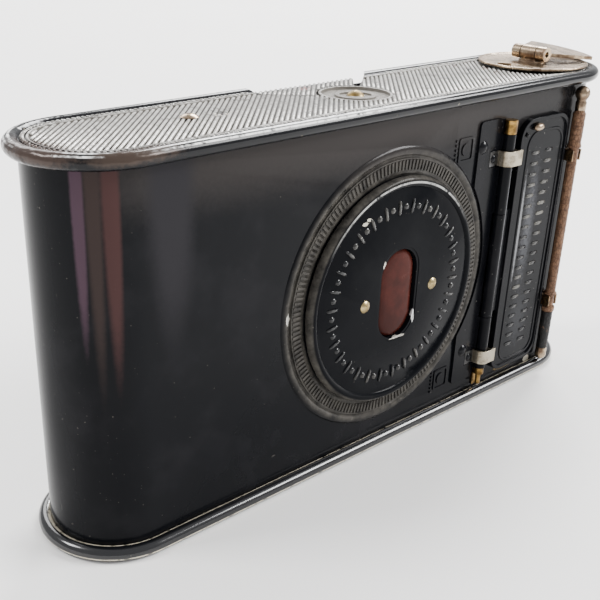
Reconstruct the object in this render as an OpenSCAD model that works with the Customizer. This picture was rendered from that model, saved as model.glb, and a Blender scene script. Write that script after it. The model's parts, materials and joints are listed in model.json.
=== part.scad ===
// Vest pocket folding roll-film camera, folded flat and standing on its long side.
// Millimetres. The lens faces -Y, the back with the writing door faces +Y, +Z is up.
// The origin is the centre of the bottom plate's flat face.

/* [Case] */
// length over the rolled rims
body_l = 121; // [110:0.5:130]
// depth over the rolled rims
body_d = 24.7; // [22:0.1:28]
// height over the rolled rims
body_h = 61; // [56:0.5:66]
// radius of the rolled rims
rim_r = 1.15; // [0.9:0.05:1.5]
// outer half depth of the case tube
shell_r = 10.45; // [9.5:0.05:11]
// sheet thickness of the case tube
wall = 0.6; // [0.4:0.05:0.9]

/* [Back] */
// height of the round back plate's centre
disc_z = 29.6; // [27:0.1:32]
// radius of the round back plate
disc_r = 19.75; // [17:0.05:20.5]
// outer radius of the knurled ring around it
knurl_r = 22.4; // [21:0.1:24]
// ridges on the knurled ring
knurl_n = 165; // [60:1:200]
// width of the red window
window_w = 8.6; // [6:0.1:9]
// height of the red window
window_h = 15.9; // [12:0.1:18]

/* [Writing door] */
// pivot line, distance from the middle
hinge_x = -27.1; // [-30:0.1:-25]
// radius of the hinge barrel
barrel_r = 1.1; // [0.9:0.05:1.3]
// edge of the door near the hinge
door_x0 = -31; // [-33:0.1:-30]
// edge of the door near the end
door_x1 = -45.7; // [-47:0.1:-44]
// lower edge of the door
door_z0 = 4.2; // [4:0.1:8]
// upper edge of the door
door_z1 = 54.1; // [50:0.1:55]

/* [Top cover] */
// pitch of the slanting ribs, measured square to them
rib_pitch = 0.76; // [0.6:0.02:1.5]
// height of the ribs
rib_h = 0.28; // [0.1:0.02:0.4]
// radius of the round dish in the middle
dish_r = 6; // [5:0.1:7]

/* [Winding key] */
// radius of the key's dish
key_r = 10.2; // [8:0.1:10.4]
// reach of the wing from the key's axis
wing_r = 11.6; // [10:0.1:12.2]
// height of the wing's pin
key_pin_z = 62.9; // [62.6:0.1:63.5]

/* [Struts] */
// pin to pin length of a link
link_l = 44.7; // [40:0.1:46]
// width of a link
link_w = 3; // [2.4:0.1:3.2]
// thickness of a link
link_t = 0.5; // [0.4:0.05:0.6]
// angle of a folded link from the upright
link_a = 4.25; // [4:0.05:5]
// height of the fixed lower pins
pin_z = 8; // [7.5:0.1:9]

/* [Bellows] */
// number of folds
folds = 14; // [8:2:16]

/* [Hidden] */
$fn = 64;
gap = 0.02;
end_r = body_d/2;
cx = body_l/2 - end_r;
roll_r = end_r - rim_r;
in_r = shell_r - wall;
skirt_r = in_r - 0.1;
plate_t = 0.5;
seat_z = 1.1;
cover_z = body_h - 0.6;
lens_z = 30.5;
root_y = 0.22;
stage = link_l*sin(link_a);
link_up = link_l*cos(link_a);
board_y = root_y - 2*stage;
layer_a = 35.0;
layer_b = 35.65;
barrel_y = shell_r + 0.08 + barrel_r;
stylus_x = -cx + 0.35;
stylus_y = 11.95;
disc_face = shell_r + 1.6;
disc_edge = 0.95;
win_x = -0.6;
win_z = disc_z - 0.4;
win_rivets = [[-9.3, disc_z - 0.6], [7.3, disc_z - 0.6]];
plate_rivets = [[-21, 50.7], [-22.1, 11.6]];
strap_z = [8.2, 46.9];
strap_h = 2.7;
strap_rivet_x = -24.2;
clip_z = [15.85, 45.65];
dish_z = cover_z - 0.3;
supply_rivet = [32.5, -1];
crank_z = 58.45;
key_z = 60.85;
pin_dx = 0.85;
spool_z0 = 7.3;
spool_z1 = 53.3;
wall_x = 37.6;
roller_x = 39.4;
roller_y = 6.7;
wheel_x = 5.4;
blade_x = -9.6;
finder_x = 20.5;
finder_z = 45.6;
ink = [0.10, 0.10, 0.11];
nickel = [0.74, 0.72, 0.67];
brassy = [0.72, 0.56, 0.27];

module stadium(r, c = cx) {
  for (s = [-1, 1]) translate([s*c, 0]) circle(r);
  square([2*c, 2*r], center = true);
}

module band(r1, r0, z0, z1) {
  translate([0, 0, z0]) linear_extrude(z1 - z0) difference() { stadium(r1); stadium(r0); }
}

// rolled wire edge that follows the outline at height z
module rolled_rim(z) {
  for (s = [-1, 1]) {
    intersection() {
      translate([s*cx, 0, z]) rotate_extrude() translate([roll_r, 0]) circle(rim_r, $fn = 32);
      translate([s*(cx + 10), 0, z]) cube([20, 40, 6], center = true);
    }
    translate([0, s*roll_r, z]) rotate([0, 90, 0]) cylinder(r = rim_r, h = 2*cx, center = true, $fn = 32);
  }
}

// a solid standing on the back wall, drawn in X and Z
module on_back(y0, y1) {
  translate([0, y1, 0]) rotate([90, 0, 0]) linear_extrude(y1 - y0) children();
}

module round_box(x0, x1, z0, z1, r) {
  for (x = [x0 + r, x1 - r], z = [z0 + r, z1 - r]) translate([x, z]) circle(r);
  translate([x0 + r, z0]) square([x1 - x0 - 2*r, z1 - z0]);
  translate([x0, z0 + r]) square([x1 - x0, z1 - z0 - 2*r]);
}

module slot2(w, h) {
  for (s = [-1, 1]) translate([0, s*(h - w)/2]) circle(w/2);
  square([w, h - w], center = true);
}

module y_cyl(r, y0, y1, x = 0, z = 0, f = 48) {
  translate([x, y1, z]) rotate([90, 0, 0]) cylinder(r = r, h = y1 - y0, $fn = f);
}

module x_cyl(r, x0, x1, y, z, f = 24) {
  translate([x0, y, z]) rotate([0, 90, 0]) cylinder(r = r, h = x1 - x0, $fn = f);
}

module z_cyl(r, z0, z1, x, y, f = 32) {
  translate([x, y, z0]) cylinder(r = r, h = z1 - z0, $fn = f);
}

// domed head on the back wall with its shank behind it
module back_rivet(x, z, y, r, h, shank, depth) {
  translate([x, y, z]) intersection() {
    translate([0, -(r*r - h*h)/(2*h), 0]) sphere(r = (r*r + h*h)/(2*h), $fn = 32);
    translate([0, h/2, 0]) cube([2*r + 1, h, 2*r + 1], center = true);
  }
  y_cyl(shank, y - depth, y, x, z, 20);
}

module base_plate() color(ink) {
  rolled_rim(rim_r);
  linear_extrude(plate_t) stadium(roll_r);
  band(roll_r - 0.4, in_r - 0.35, plate_t, seat_z);
  band(skirt_r, skirt_r - 0.5, plate_t, 4.4);
}

module base_pivots() color(nickel) for (s = [-1, 1]) {
  z_cyl(3.2, plate_t + gap, seat_z, s*cx, 0);
  z_cyl(2.6, seat_z, 6.4, s*cx, 0);
  z_cyl(1.42, 6.4, 9.5, s*cx, 0);
}

// stamped square with a boss in it, and a row of n beads from height z0 up
module square_motif(z, z0, n) {
  difference() {
    on_back(shell_r - 0.05, shell_r + 0.18) round_box(-18.6, -14.7, z - 2.1, z + 2.1, 0.5);
    on_back(shell_r, shell_r + 1) round_box(-18.2, -15.1, z - 1.7, z + 1.7, 0.4);
  }
  y_cyl(1.1, shell_r - 0.05, shell_r + 0.2, -16.65, z, 24);
  for (i = [0:n - 1]) y_cyl(0.24, shell_r - 0.05, shell_r + 0.22, -14, z0 + i*0.78, 16);
}

// knurled ring: flat ring with a row of radial ridges on it and a thin line outside them
module knurl_ring() translate([0, 0, disc_z]) {
  on_back(shell_r - 0.05, shell_r + 0.2) difference() { circle(knurl_r); circle(disc_r + 0.2); }
  on_back(shell_r + 0.1, shell_r + 0.34) difference() { circle(knurl_r); circle(knurl_r - 0.18); }
  on_back(shell_r + 0.1, shell_r + 0.42) intersection() {
    difference() { circle(knurl_r - 0.3); circle(disc_r + 0.75); }
    for (i = [0:knurl_n - 1])
      rotate(i*360/knurl_n) translate([knurl_r - 1.1, 0]) square([3.4, 0.4], center = true);
  }
}

module body_shell() color(ink) {
  difference() {
    union() {
      translate([0, 0, 2.1]) linear_extrude(body_h - 4.35) stadium(shell_r);
      // soft swell around the back ornament
      translate([0, shell_r - 0.75, disc_z]) rotate([90, 0, 0]) rotate_extrude($fn = 96)
        translate([knurl_r + 1.1, 0]) circle(1.1, $fn = 48);
      knurl_ring();
      square_motif(7.4, 5.3, 6);
      square_motif(50.95, 49.6, 5);
      // raised line under the top rim
      x_cyl(0.2, -42, -14, shell_r, body_h - 2.55, 16);
    }
    translate([0, 0, 1]) linear_extrude(body_h) stadium(in_r);
    // front opening for the lens board
    translate([-37.2, -13, 5.5]) cube([74.4, 10, 50]);
    // round opening behind the back plate, with three bayonet gaps
    translate([0, 0, disc_z]) on_back(8, 12) {
      circle(17.3);
      for (a = [90, 210, 330]) intersection() {
        circle(18.4);
        rotate(a) translate([0, -2.6]) square([20, 5.2]);
      }
    }
    // slot under the writing door
    on_back(8, 12) round_box(-42.2, -36, 7.6, 50.4, 1);
    // rivet holes of the hinge plate and of the stylus clips
    for (p = plate_rivets) y_cyl(0.42, 8, 12, p[0], p[1], 20);
    for (z = strap_z) y_cyl(0.42, 8, 12, strap_rivet_x, z + strap_h/2, 20);
    for (z = clip_z, s = [-1, 1]) y_cyl(0.3, 8, 12, stylus_x + 0.2, z + s*0.75, 20);
  }
}

module window_disc() color(ink) difference() {
  translate([0, 0, disc_z]) union() {
    // pressed plate with a round crest and the collar behind it
    rotate([-90, 0, 0]) rotate_extrude($fn = 96) difference() {
      union() {
        translate([0, shell_r + 0.25]) square([disc_r - 1.7, 1.35]);
        translate([0, shell_r + 0.25]) square([disc_r - disc_edge, 0.75]);
        translate([disc_r - disc_edge, shell_r + 1]) circle(disc_edge, $fn = 32);
        translate([15.9, 8.9]) square([1.0, 1.9]);
      }
      translate([17, shell_r - 0.2]) square([4, 0.45]);
    }
    // bayonet lugs behind the case wall
    on_back(8.9, 9.7) intersection() {
      difference() { circle(18.1); circle(16.4); }
      for (a = [104, 224, 344]) rotate(a) translate([0, -2.3]) square([20, 4.6]);
    }
  }
  on_back(8, 13) translate([win_x, win_z]) slot2(window_w, window_h);
  // shallow bevel around the window
  on_back(disc_face - 0.1, 13) translate([win_x, win_z]) slot2(window_w + 1, window_h + 1);
  for (p = win_rivets) y_cyl(0.5, 8, 13, p[0], p[1], 20);
}

module window_frame() color(ink) difference() {
  on_back(9.45, 9.95) round_box(-11.2, 9.2, disc_z - 10.2, disc_z + 10.2, 4);
  on_back(9, 11) translate([win_x, win_z]) slot2(window_w - 0.6, window_h - 0.6);
  for (p = win_rivets) y_cyl(0.5, 8, 13, p[0], p[1], 20);
}

module ruby_window() color([0.55, 0.12, 0.06, 0.7])
  on_back(9.95 + gap, shell_r + 0.25 - gap) translate([win_x, win_z]) slot2(window_w + 3, window_h + 3);

module window_rivets() color(brassy) for (p = win_rivets)
  back_rivet(p[0], p[1], disc_face + gap, 1.05, 0.45, 0.45, 2.6);

module hinge_plate() color(ink) {
  difference() {
    union() {
      on_back(shell_r + gap, shell_r + 0.4) difference() {
        round_box(-26, -19.8, 5, 55.2, 0.8);
        translate([0, disc_z]) circle(knurl_r + 2);
      }
      // leaf and knuckles that belong to the case
      for (z = [[7, 17.7], [38.1, 52.4]]) {
        z_cyl(barrel_r, z[0], z[1], hinge_x, barrel_y);
        translate([hinge_x, shell_r + gap, z[0]]) cube([1.4, 0.7, z[1] - z[0]]);
      }
    }
    z_cyl(0.55, 0, 60, hinge_x, barrel_y, 24);
    for (p = plate_rivets) y_cyl(0.42, 8, 14, p[0], p[1], 20);
    for (z = strap_z) translate([-26.1, shell_r - 1, z - 0.15]) cube([3, 1.9, strap_h + 0.3]);
  }
}

// nickel saddles over the knuckles, each with a lip over the door's edge
module hinge_straps() color(nickel) for (z = strap_z) difference() {
  union() {
    z_cyl(barrel_r + 0.5, z, z + strap_h, hinge_x, barrel_y);
    translate([hinge_x - 2.3, barrel_y + barrel_r + 0.06, z]) cube([2.3, 0.44, strap_h]);
    translate([hinge_x + 0.6, shell_r + gap, z]) cube([3.3, 0.42, strap_h]);
    translate([hinge_x + barrel_r + 0.03, shell_r + gap, z]) cube([0.47, 1.2, strap_h]);
  }
  z_cyl(barrel_r + 0.03, z - 1, z + 4, hinge_x, barrel_y);
  translate([hinge_x - 3, shell_r - 2, z - 1]) cube([4.13, 3.2, 5]);
  translate([hinge_x - 3, shell_r - 2 + gap, z - 1]) cube([9, 2, 5]);
  y_cyl(0.42, 8, 14, strap_rivet_x, z + strap_h/2, 20);
}

module hinge_rivets() color(nickel) {
  for (p = plate_rivets) back_rivet(p[0], p[1], shell_r + 0.4 + gap, 1.15, 0.55, 0.38, 1.4);
  for (z = strap_z)
    back_rivet(strap_rivet_x, z + strap_h/2, shell_r + 0.42 + 2*gap, 0.75, 0.35, 0.38, 1.4);
}

module hinge_pin() color(brassy) {
  z_cyl(0.5, 3.4, 54.6, hinge_x, barrel_y, 24);
  z_cyl(barrel_r, 52.45, 54.9, hinge_x, barrel_y);
}

// leaf spring at the lower end of the pin
module door_spring() color(brassy) difference() {
  union() {
    z_cyl(0.95, 5.6, 6.9, hinge_x, barrel_y);
    translate([hinge_x - 0.35, shell_r + gap, 2.9]) cube([0.9, 0.3, 4]);
    translate([hinge_x - 0.35, shell_r + gap, 5.6]) cube([0.9, 0.8, 1.3]);
  }
  z_cyl(0.52, 0, 60, hinge_x, barrel_y, 24);
}

module writing_door() color(ink) difference() {
  union() {
    on_back(shell_r + 0.1, shell_r + 0.75) round_box(door_x1, door_x0, door_z0, door_z1, 3.4);
    // bead around the edge
    on_back(shell_r + 0.7, shell_r + 1.1) difference() {
      round_box(door_x1, door_x0, door_z0, door_z1, 3.4);
      round_box(door_x1 + 0.7, door_x0 - 0.7, door_z0 + 0.7, door_z1 - 0.7, 2.8);
    }
    // step that frames the sunk panel
    on_back(shell_r + 0.7, shell_r + 0.92) difference() {
      round_box(door_x1 + 1.1, door_x0 - 2.6, door_z0 + 1.1, door_z1 - 2.4, 3);
      round_box(door_x1 + 1.6, door_x0 - 3.1, door_z0 + 1.6, door_z1 - 2.9, 2.6);
    }
    // middle knuckle and its leaf
    z_cyl(barrel_r, 17.8, 38, hinge_x, barrel_y);
    translate([door_x0 - 0.5, shell_r + 0.1, 17.8]) cube([hinge_x - door_x0 + 0.5, 0.5, 20.2]);
    // stiffening rib that drops into the slot and holds the pad
    on_back(shell_r - 0.3, shell_r + 0.2) round_box(-41.8, -36.4, 8, 50, 0.8);
  }
  z_cyl(0.55, 0, 60, hinge_x, barrel_y, 24);
}

module door_pad() color([0.20, 0.08, 0.07])
  on_back(shell_r - 0.55, shell_r - 0.3 - gap) round_box(-41.4, -36.8, 8.4, 49.6, 0.6);

module door_lip() color(nickel) {
  translate([-35.6, shell_r + 1.1 + gap, 52.5]) intersection() {
    translate([0, 0.45, 0]) cube([2.4, 0.9, 1.4], center = true);
    translate([0, -0.75, 0]) sphere(r = 1.75, $fn = 32);
  }
}

// sleeve of the stylus
module stylus() color([0.42, 0.27, 0.19]) translate([stylus_x, stylus_y, 0]) difference() {
  union() {
    z_cyl(0.95, 5.2, 54, 0, 0);
    z_cyl(1.15, 5.2, 13.4, 0, 0);
    z_cyl(1.3, 13.5, 14.5, 0, 0);
    z_cyl(1.0, 17.3, 44.2, 0, 0);
    z_cyl(1.3, 17.1, 17.5, 0, 0);
    z_cyl(1.22, 47.4, 53.7, 0, 0);
    z_cyl(1.32, 47.1, 47.6, 0, 0);
  }
  z_cyl(0.62, 5, 55, 0, 0);
}

// core of the stylus with its ball and its writing end
module stylus_end() color(nickel) translate([stylus_x, stylus_y, 0]) {
  z_cyl(0.6, 3.6, 57.1, 0, 0);
  z_cyl(1.0, 54 + gap, 55.8, 0, 0);
  translate([0, 0, 57.1]) sphere(r = 1.35, $fn = 32);
  z_cyl(1.1, 3.6, 5.2 - gap, 0, 0);
  translate([0, 0, 3.6]) sphere(r = 1.15, $fn = 32);
}

// spring clips, open outwards
module stylus_clips() color(ink) for (z = clip_z) {
  difference() {
    translate([stylus_x - 1.4, shell_r + gap, z - 1.05]) cube([2.8, 2.3, 2.1]);
    translate([stylus_x, stylus_y, z - 2]) cylinder(r = 1.0, h = 4, $fn = 32);
    translate([stylus_x - 1.0, stylus_y, z - 2]) cube([2, 3, 4]);
    translate([stylus_x - 3, shell_r - 3.1, z - 2]) cube([6, 3.13, 4]);
    translate([-cx, 0, z - 2]) cylinder(r = shell_r + 0.03, h = 4);
  }
  for (s = [-1, 1]) y_cyl(0.28, shell_r - 1.1, shell_r + 0.2, stylus_x + 0.2, z + s*0.75, 20);
}

// outline of the swinging latch leaf; grown by g for the opening around it
module latch_fan(g = 0) difference() {
  polygon([[-0.73*g, 0.69*g], [-9.35 - 12.1*g, -9.85 - 11.3*g],
    [12.9 + g, -9.85 - 11.3*g], [12.9 + g, -9.85], [13.5 + g, -7.5],
    [7.45 + 0.45*g, -2.8 + 0.95*g], [0.35*g, 0.94*g]]);
  circle(dish_r + 0.35 - g);
}

module rib_rows(n) {
  for (i = [-n:n]) rotate(45) translate([-70, i*rib_pitch - rib_pitch*0.26]) square([140, rib_pitch*0.52]);
}

// notch in the front rim where the thumb reaches the latch
module rim_notch() polygon([[14.5, -14], [13.6, -10.9], [12.6, -9.9], [9.4, -9.87], [-9.4, -9.87],
  [-12.2, -9.87], [-13.2, -10.9], [-14.4, -12.0], [-15.6, -12.6], [-16.6, -14]]);

module top_cover() color([0.16, 0.16, 0.17]) difference() {
  union() {
    rolled_rim(body_h - rim_r);
    translate([0, 0, cover_z - plate_t]) linear_extrude(plate_t) stadium(roll_r);
    band(skirt_r, skirt_r - 0.5, cover_z - 5, cover_z - 0.4);
    // flat edge and thin line around the ribs
    band(9.95, 9.35, cover_z - 0.1, cover_z + 0.2);
    difference() {
      band(9.1, 8.85, cover_z - 0.1, cover_z + 0.3);
      translate([-cx, 0, 60]) cylinder(r = key_r + 0.2, h = 2);
    }
    translate([0, 0, cover_z - 0.1]) linear_extrude(0.1 + rib_h) intersection() {
      difference() {
        stadium(8.6);
        circle(dish_r + 0.1);
        translate([-cx, 0]) circle(key_r + 0.2);
      }
      rib_rows(100);
    }
    // pressed dish in the middle
    z_cyl(dish_r, cover_z - 1.2, cover_z + 0.15, 0, 0, 64);
    // collar around the key's spindle
    z_cyl(3.4, cover_z - 1.8, cover_z - 0.4, -cx, 0);
  }
  difference() {
    z_cyl(dish_r - 0.4, dish_z, 62, 0, 0, 64);
    // boss with a long hole around the rivet
    translate([0, 0, dish_z - 0.1]) linear_extrude(0.35) difference() {
      circle(3.4);
      rotate(45) slot2(3.3, 5.2);
    }
  }
  z_cyl(1.05, 58, 62, 0, 0);
  z_cyl(1.75, 58, 62, -cx, 0);
  z_cyl(1.0, 58, 62, supply_rivet[0], supply_rivet[1]);
  z_cyl(1.42, 58, 62, cx, 0);
  // opening that the latch leaf swings in
  translate([0, 0, cover_z - 0.85]) linear_extrude(3) difference() {
    union() {
      latch_fan(0.3);
      polygon([[0, 0], [30*cos(219), 30*sin(219)], [30*cos(228), 30*sin(228)]]);
    }
    circle(dish_r + gap);
    translate([-30, -30]) square([60, 19.9]);
  }
  translate([0, 0, cover_z - 0.85]) linear_extrude(3) rim_notch();
  translate([0, 0, 58]) linear_extrude(3) intersection() {
    rim_notch();
    translate([-20, -15]) square([40, 5.2]);
  }
}

module cover_latch() color([0.16, 0.16, 0.17]) difference() {
  union() {
    translate([0, 0, cover_z - plate_t]) linear_extrude(plate_t) latch_fan();
    translate([0, 0, cover_z - 0.1]) linear_extrude(0.1 + rib_h) intersection() {
      latch_fan();
      rib_rows(40);
    }
    // crank under the dish that carries the leaf to its pivot
    z_cyl(4.6, crank_z, crank_z + 0.55, 0, 0);
    translate([-1.6, -8.9, crank_z]) cube([3.2, 8.9, 0.55]);
    translate([-1.6, -8.9, crank_z]) cube([3.2, 1.2, 1.6]);
  }
  z_cyl(1.05, 58, 62, 0, 0);
}

module latch_rivet() color(brassy) {
  z_cyl(1.0, 58.2, dish_z + 0.1, 0, 0);
  z_cyl(1.9, 57.95, 58.4, 0, 0);
  translate([0, 0, dish_z + gap]) intersection() {
    translate([0, 0, -0.8]) sphere(r = 1.7, $fn = 32);
    translate([0, 0, 0.5]) cube([6, 6, 1], center = true);
  }
}

module cover_rivet() color(nickel) {
  z_cyl(0.95, 59.4, 60.8, supply_rivet[0], supply_rivet[1]);
  translate([supply_rivet[0], supply_rivet[1], cover_z + 0.32]) intersection() {
    translate([0, 0, -1.8]) sphere(r = 2.3, $fn = 32);
    translate([0, 0, 0.3]) cube([5, 5, 0.6], center = true);
  }
  z_cyl(1.6, 59.3, 59.85, supply_rivet[0], supply_rivet[1]);
}

module cover_pivot() color(nickel) {
  z_cyl(1.4, 52, 60.3, cx, 0);
  z_cyl(3.2, 59.2, 59.85, cx, 0);
}

module key_dish() color(nickel) translate([-cx, 0, 0]) difference() {
  union() {
    rotate_extrude() union() {
      translate([0, key_z]) square([key_r - 1.1, 0.3]);
      polygon([[key_r - 1.4, key_z], [key_r - 0.3, key_z + 0.15],
        [key_r - 0.3, key_z + 0.5], [key_r - 1.4, key_z + 0.3]]);
      translate([key_r - 0.28, key_z + 0.3]) circle(0.28, $fn = 20);
    }
    // eye block that holds the wing's pin
    translate([-1.55, -1.6, 61.1]) cube([3.1, 3.2, key_pin_z - 61.1]);
    translate([pin_dx, 1.6, key_pin_z]) rotate([90, 0, 0]) cylinder(r = 1.3, h = 3.2, $fn = 32);
    z_cyl(2.6, 61.1, 61.5, 0, 0);
    // stop pip
    translate([8, -0.6, 61.05]) rotate(125) union() {
      translate([-0.7, -0.55, 0]) cube([1.4, 1.1, 0.55]);
      for (s = [-1, 1]) z_cyl(0.55, 0, 0.55, s*0.7, 0, 20);
    }
  }
  translate([pin_dx, 3, key_pin_z]) rotate([90, 0, 0]) cylinder(r = 0.5, h = 6, $fn = 24);
  z_cyl(1.2, 60, 61.35, 0, 0);
}

module key_spindle() color(nickel) translate([-cx, 0, 0]) {
  z_cyl(1.17, 55.5, 61.3, 0, 0);
  z_cyl(1.7, 56.4, 60.83, 0, 0);
  z_cyl(2.6, 57.3, 58.3, 0, 0);
  // flat blade that enters the spool
  translate([-2.2, -0.45, 51.6]) cube([4.4, 0.9, 5]);
}

module key_wing() color(nickel) translate([-cx + pin_dx, 0, key_pin_z]) difference() {
  union() {
    for (s = [-1, 1]) translate([0, s*2.65, 0])
      rotate([90, 0, 0]) cylinder(r = 1.3, h = 1.8, center = true, $fn = 32);
    rotate([-5, -3.5, 0]) translate([0, 0, -0.15]) linear_extrude(0.65) difference() {
      intersection() {
        translate([-pin_dx, 0]) circle(wing_r, $fn = 96);
        polygon([[0, -3.4], [-1.6, -3.4], [-2.8, -4], [-14, -8.76],
          [-14, 8.76], [-2.8, 4], [-1.6, 3.4], [0, 3.4]]);
      }
      translate([-2.7, -1.9]) square([4.8, 3.8]);
    }
  }
  rotate([90, 0, 0]) cylinder(r = 0.53, h = 12, center = true, $fn = 24);
}

module key_pin() color(nickel) translate([-cx + pin_dx, 0, key_pin_z])
  rotate([90, 0, 0]) cylinder(r = 0.48, h = 5.6, center = true, $fn = 24);

module spool_core() color([0.55, 0.38, 0.22]) translate([-cx, 0, 0]) difference() {
  z_cyl(3.6, spool_z0, spool_z1, 0, 0);
  z_cyl(1.5, 7, 12, 0, 0);
  translate([-2.4, -0.6, 50.8]) cube([4.8, 1.2, 4]);
  // slit that takes the tongue of the paper
  translate([-5, -0.4, 16]) cube([10, 0.8, 26]);
}

module spool_flanges() color(ink) translate([-cx, 0, 0]) difference() {
  union() {
    z_cyl(9.2, spool_z0 - 0.6, spool_z0 - gap, 0, 0);
    z_cyl(9.2, spool_z1 + gap, spool_z1 + 0.6, 0, 0);
  }
  z_cyl(1.5, 6, 8, 0, 0);
  translate([-2.4, -0.6, 53]) cube([4.8, 1.2, 2]);
}

// frame around the picture with the walls that part the bellows from the spools
module film_gate() color(ink) difference() {
  union() {
    translate([-37.9, 5.6, 4.42]) cube([75.8, 0.6, 50.7]);
    for (s = [-1, 1]) {
      translate([s*wall_x - 0.3, -9.83, 4.42]) cube([0.6, 15.7, 50.7]);
      // ears for the roller
      for (z = [4.9, 54.5]) translate([s*(wall_x + 1.75) - 1.75, 5.2, z]) cube([3.5, 2.6, 0.6]);
      // lower anchor of the fixed pin and guide of the sliding pin
      translate([s*37.05 - 0.35, root_y - 1.9, 6]) cube([0.7, 3.8, 48.8]);
    }
  }
  translate([-31, 5, 10]) cube([62, 2, 41]);
  for (s = [-1, 1]) {
    x_cyl(0.5, s*37 - 2, s*37 + 2, root_y, pin_z);
    // slot of the sliding pin
    translate([s*37 - 2, root_y - 0.65, pin_z + link_up - 10.2]) cube([4, 1.3, 10.2]);
    x_cyl(0.65, s*37 - 2, s*37 + 2, root_y, pin_z + link_up);
    x_cyl(0.65, s*37 - 2, s*37 + 2, root_y, pin_z + link_up - 10.2);
    z_cyl(0.55, 4, 56, s*roller_x, roller_y, 24);
  }
}

module roller(s) color(nickel) {
  z_cyl(1.2, 5.8, 54.2, s*roller_x, roller_y);
  z_cyl(0.5, 4.9, 55.1, s*roller_x, roller_y, 24);
}
module roller_left() roller(1);
module roller_right() roller(-1);

// side s is 1 at the photo's left end and -1 at its right end
module sided(s) { if (s > 0) children(); else mirror([1, 0, 0]) children(); }

// one flat link from (y0, z0) upwards, leaning by angle a towards the lens
module link(y0, z0, a, x0) {
  translate([x0, y0, z0]) rotate([a, 0, 0]) difference() {
    rotate([0, 90, 0]) linear_extrude(link_t) {
      translate([-link_l, 0]) circle(link_w/2);
      circle(link_w/2);
      translate([-link_l, -link_w/2]) square([link_l, link_w]);
    }
    for (z = [0, link_l/2, link_l]) translate([0, 0, z]) x_cyl(0.6, -1, 2, 0, 0);
  }
}

// pin through the layers with a flat head each end
module pin(y, z, x0, x1, h0, h1, hr = 1.15) {
  x_cyl(0.56, x0, x1, y, z);
  if (h0 > 0) x_cyl(hr, x0, x0 + h0, y, z);
  if (h1 > 0) x_cyl(hr, x1 - h1, x1, y, z);
}

module link_a1(s) color([0.25, 0.25, 0.26]) sided(s) link(root_y, pin_z, link_a, layer_a);
module link_b1(s) color([0.25, 0.25, 0.26]) sided(s) link(root_y - stage, pin_z, -link_a, layer_b);
module link_b2(s) color([0.25, 0.25, 0.26]) sided(s) link(board_y, pin_z, -link_a, layer_b);
module link_a2(s) color([0.25, 0.25, 0.26]) sided(s) link(root_y - stage, pin_z, link_a, layer_a);
module link_a1_left() link_a1(1);
module link_a1_right() link_a1(-1);
module link_b1_left() link_b1(1);
module link_b1_right() link_b1(-1);
module link_b2_left() link_b2(1);
module link_b2_right() link_b2(-1);
module link_a2_left() link_a2(1);
module link_a2_right() link_a2(-1);

// fixed lower pins in the case
module case_pins() color(nickel) for (s = [-1, 1]) sided(s) {
  x_cyl(0.52, 34.8, 37.5, root_y, pin_z);
  x_cyl(1.15, 34.62, 34.92, root_y, pin_z);
  x_cyl(1.15, 35.72, 36.6, root_y, pin_z);
}

module rivets_a1() color(nickel) for (s = [-1, 1]) sided(s) {
  pin(root_y - stage/2, pin_z + link_up/2, 34.62, 36.5, 0.3, 0.28);
  pin(root_y - stage, pin_z + link_up, 34.62, 36.5, 0.3, 0.28);
}
module rivets_b1() color(nickel) for (s = [-1, 1]) sided(s) {
  pin(root_y, pin_z + link_up, 35.55, 37.55, 0.08, 0);
  pin(root_y - stage, pin_z, 34.62, 36.5, 0.3, 0.28);
}
module rivets_b2() color(nickel) for (s = [-1, 1]) sided(s) {
  pin(board_y + stage/2, pin_z + link_up/2, 34.62, 36.5, 0.3, 0.28);
  pin(board_y, pin_z, 34.0, 36.5, 0, 0.28);
}
module rivets_a2() color(nickel) for (s = [-1, 1]) sided(s) {
  pin(board_y, pin_z + link_up, 34.0, 35.6, 0, 0.08);
}

// one fold: a flat leaf open in the middle, wx by wz outside
module leaf(wx, wz, d, y, t) {
  translate([0, y + t, lens_z]) rotate([90, 0, 0]) linear_extrude(t) difference() {
    square([wx, wz], center = true);
    square([wx - 2*d, wz - 2*d], center = true);
  }
}

module bellows() color([0.12, 0.10, 0.10]) {
  y0 = -6.08;
  dy = (5.3 - y0)/folds;
  for (i = [0:folds]) {
    wx = 54 + 14.4*i/folds;
    wz = 36 + 11*i/folds;
    leaf(wx, wz, 3.4, y0 + i*dy, 0.28);
    // folds join outside and inside in turn
    if (i < folds && i % 2 == 0) leaf(wx, wz, 0.35, y0 + i*dy, dy + 0.28);
    if (i % 2 == 0 && i > 0) leaf(wx - 6.1, wz - 6.1, 0.35, y0 + (i - 1)*dy, dy + 0.28);
  }
}

// stamped lens board: flat flange, sunk tray and turned edge
module front_board() color(ink) {
  difference() {
    union() {
      translate([0, -9.6, lens_z]) rotate([90, 0, 0]) linear_extrude(0.6)
        square([73.6, 49.2], center = true);
      translate([-33.4, -9.7, lens_z - 21.9]) cube([66.8, 3.6, 43.8]);
    }
    translate([-32.8, -12, lens_z - 21.3]) cube([65.6, 5.3, 42.6]);
    y_cyl(9, -8, -4, 0, lens_z);
    y_cyl(0.85, -8, -4, finder_x, finder_z, 24);
  }
}

module board_brackets() color(ink) for (s = [-1, 1]) sided(s) difference() {
  translate([33.95, -9.58, pin_z - 2]) cube([0.55, 5.2, link_up + 3.6]);
  // the lower pin has a short slot, the upper one slides in a long slot
  translate([33, board_y - 1.72, pin_z - 0.62]) cube([3, 2.36, 1.24]);
  translate([33, board_y - 1.72, pin_z + link_up - 10.3]) cube([3, 2.36, 10.95]);
}

module finger_grips() color(ink) for (s = [-1, 1]) {
  translate([s*26.5, -6.72, lens_z]) rotate([90, 0, 0]) linear_extrude(0.6) square([5, 12], center = true);
  for (i = [0:3]) translate([s*(24.9 + i*1.1), -9.3, lens_z]) cube([0.55, 4.2, 12], center = true);
}

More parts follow.
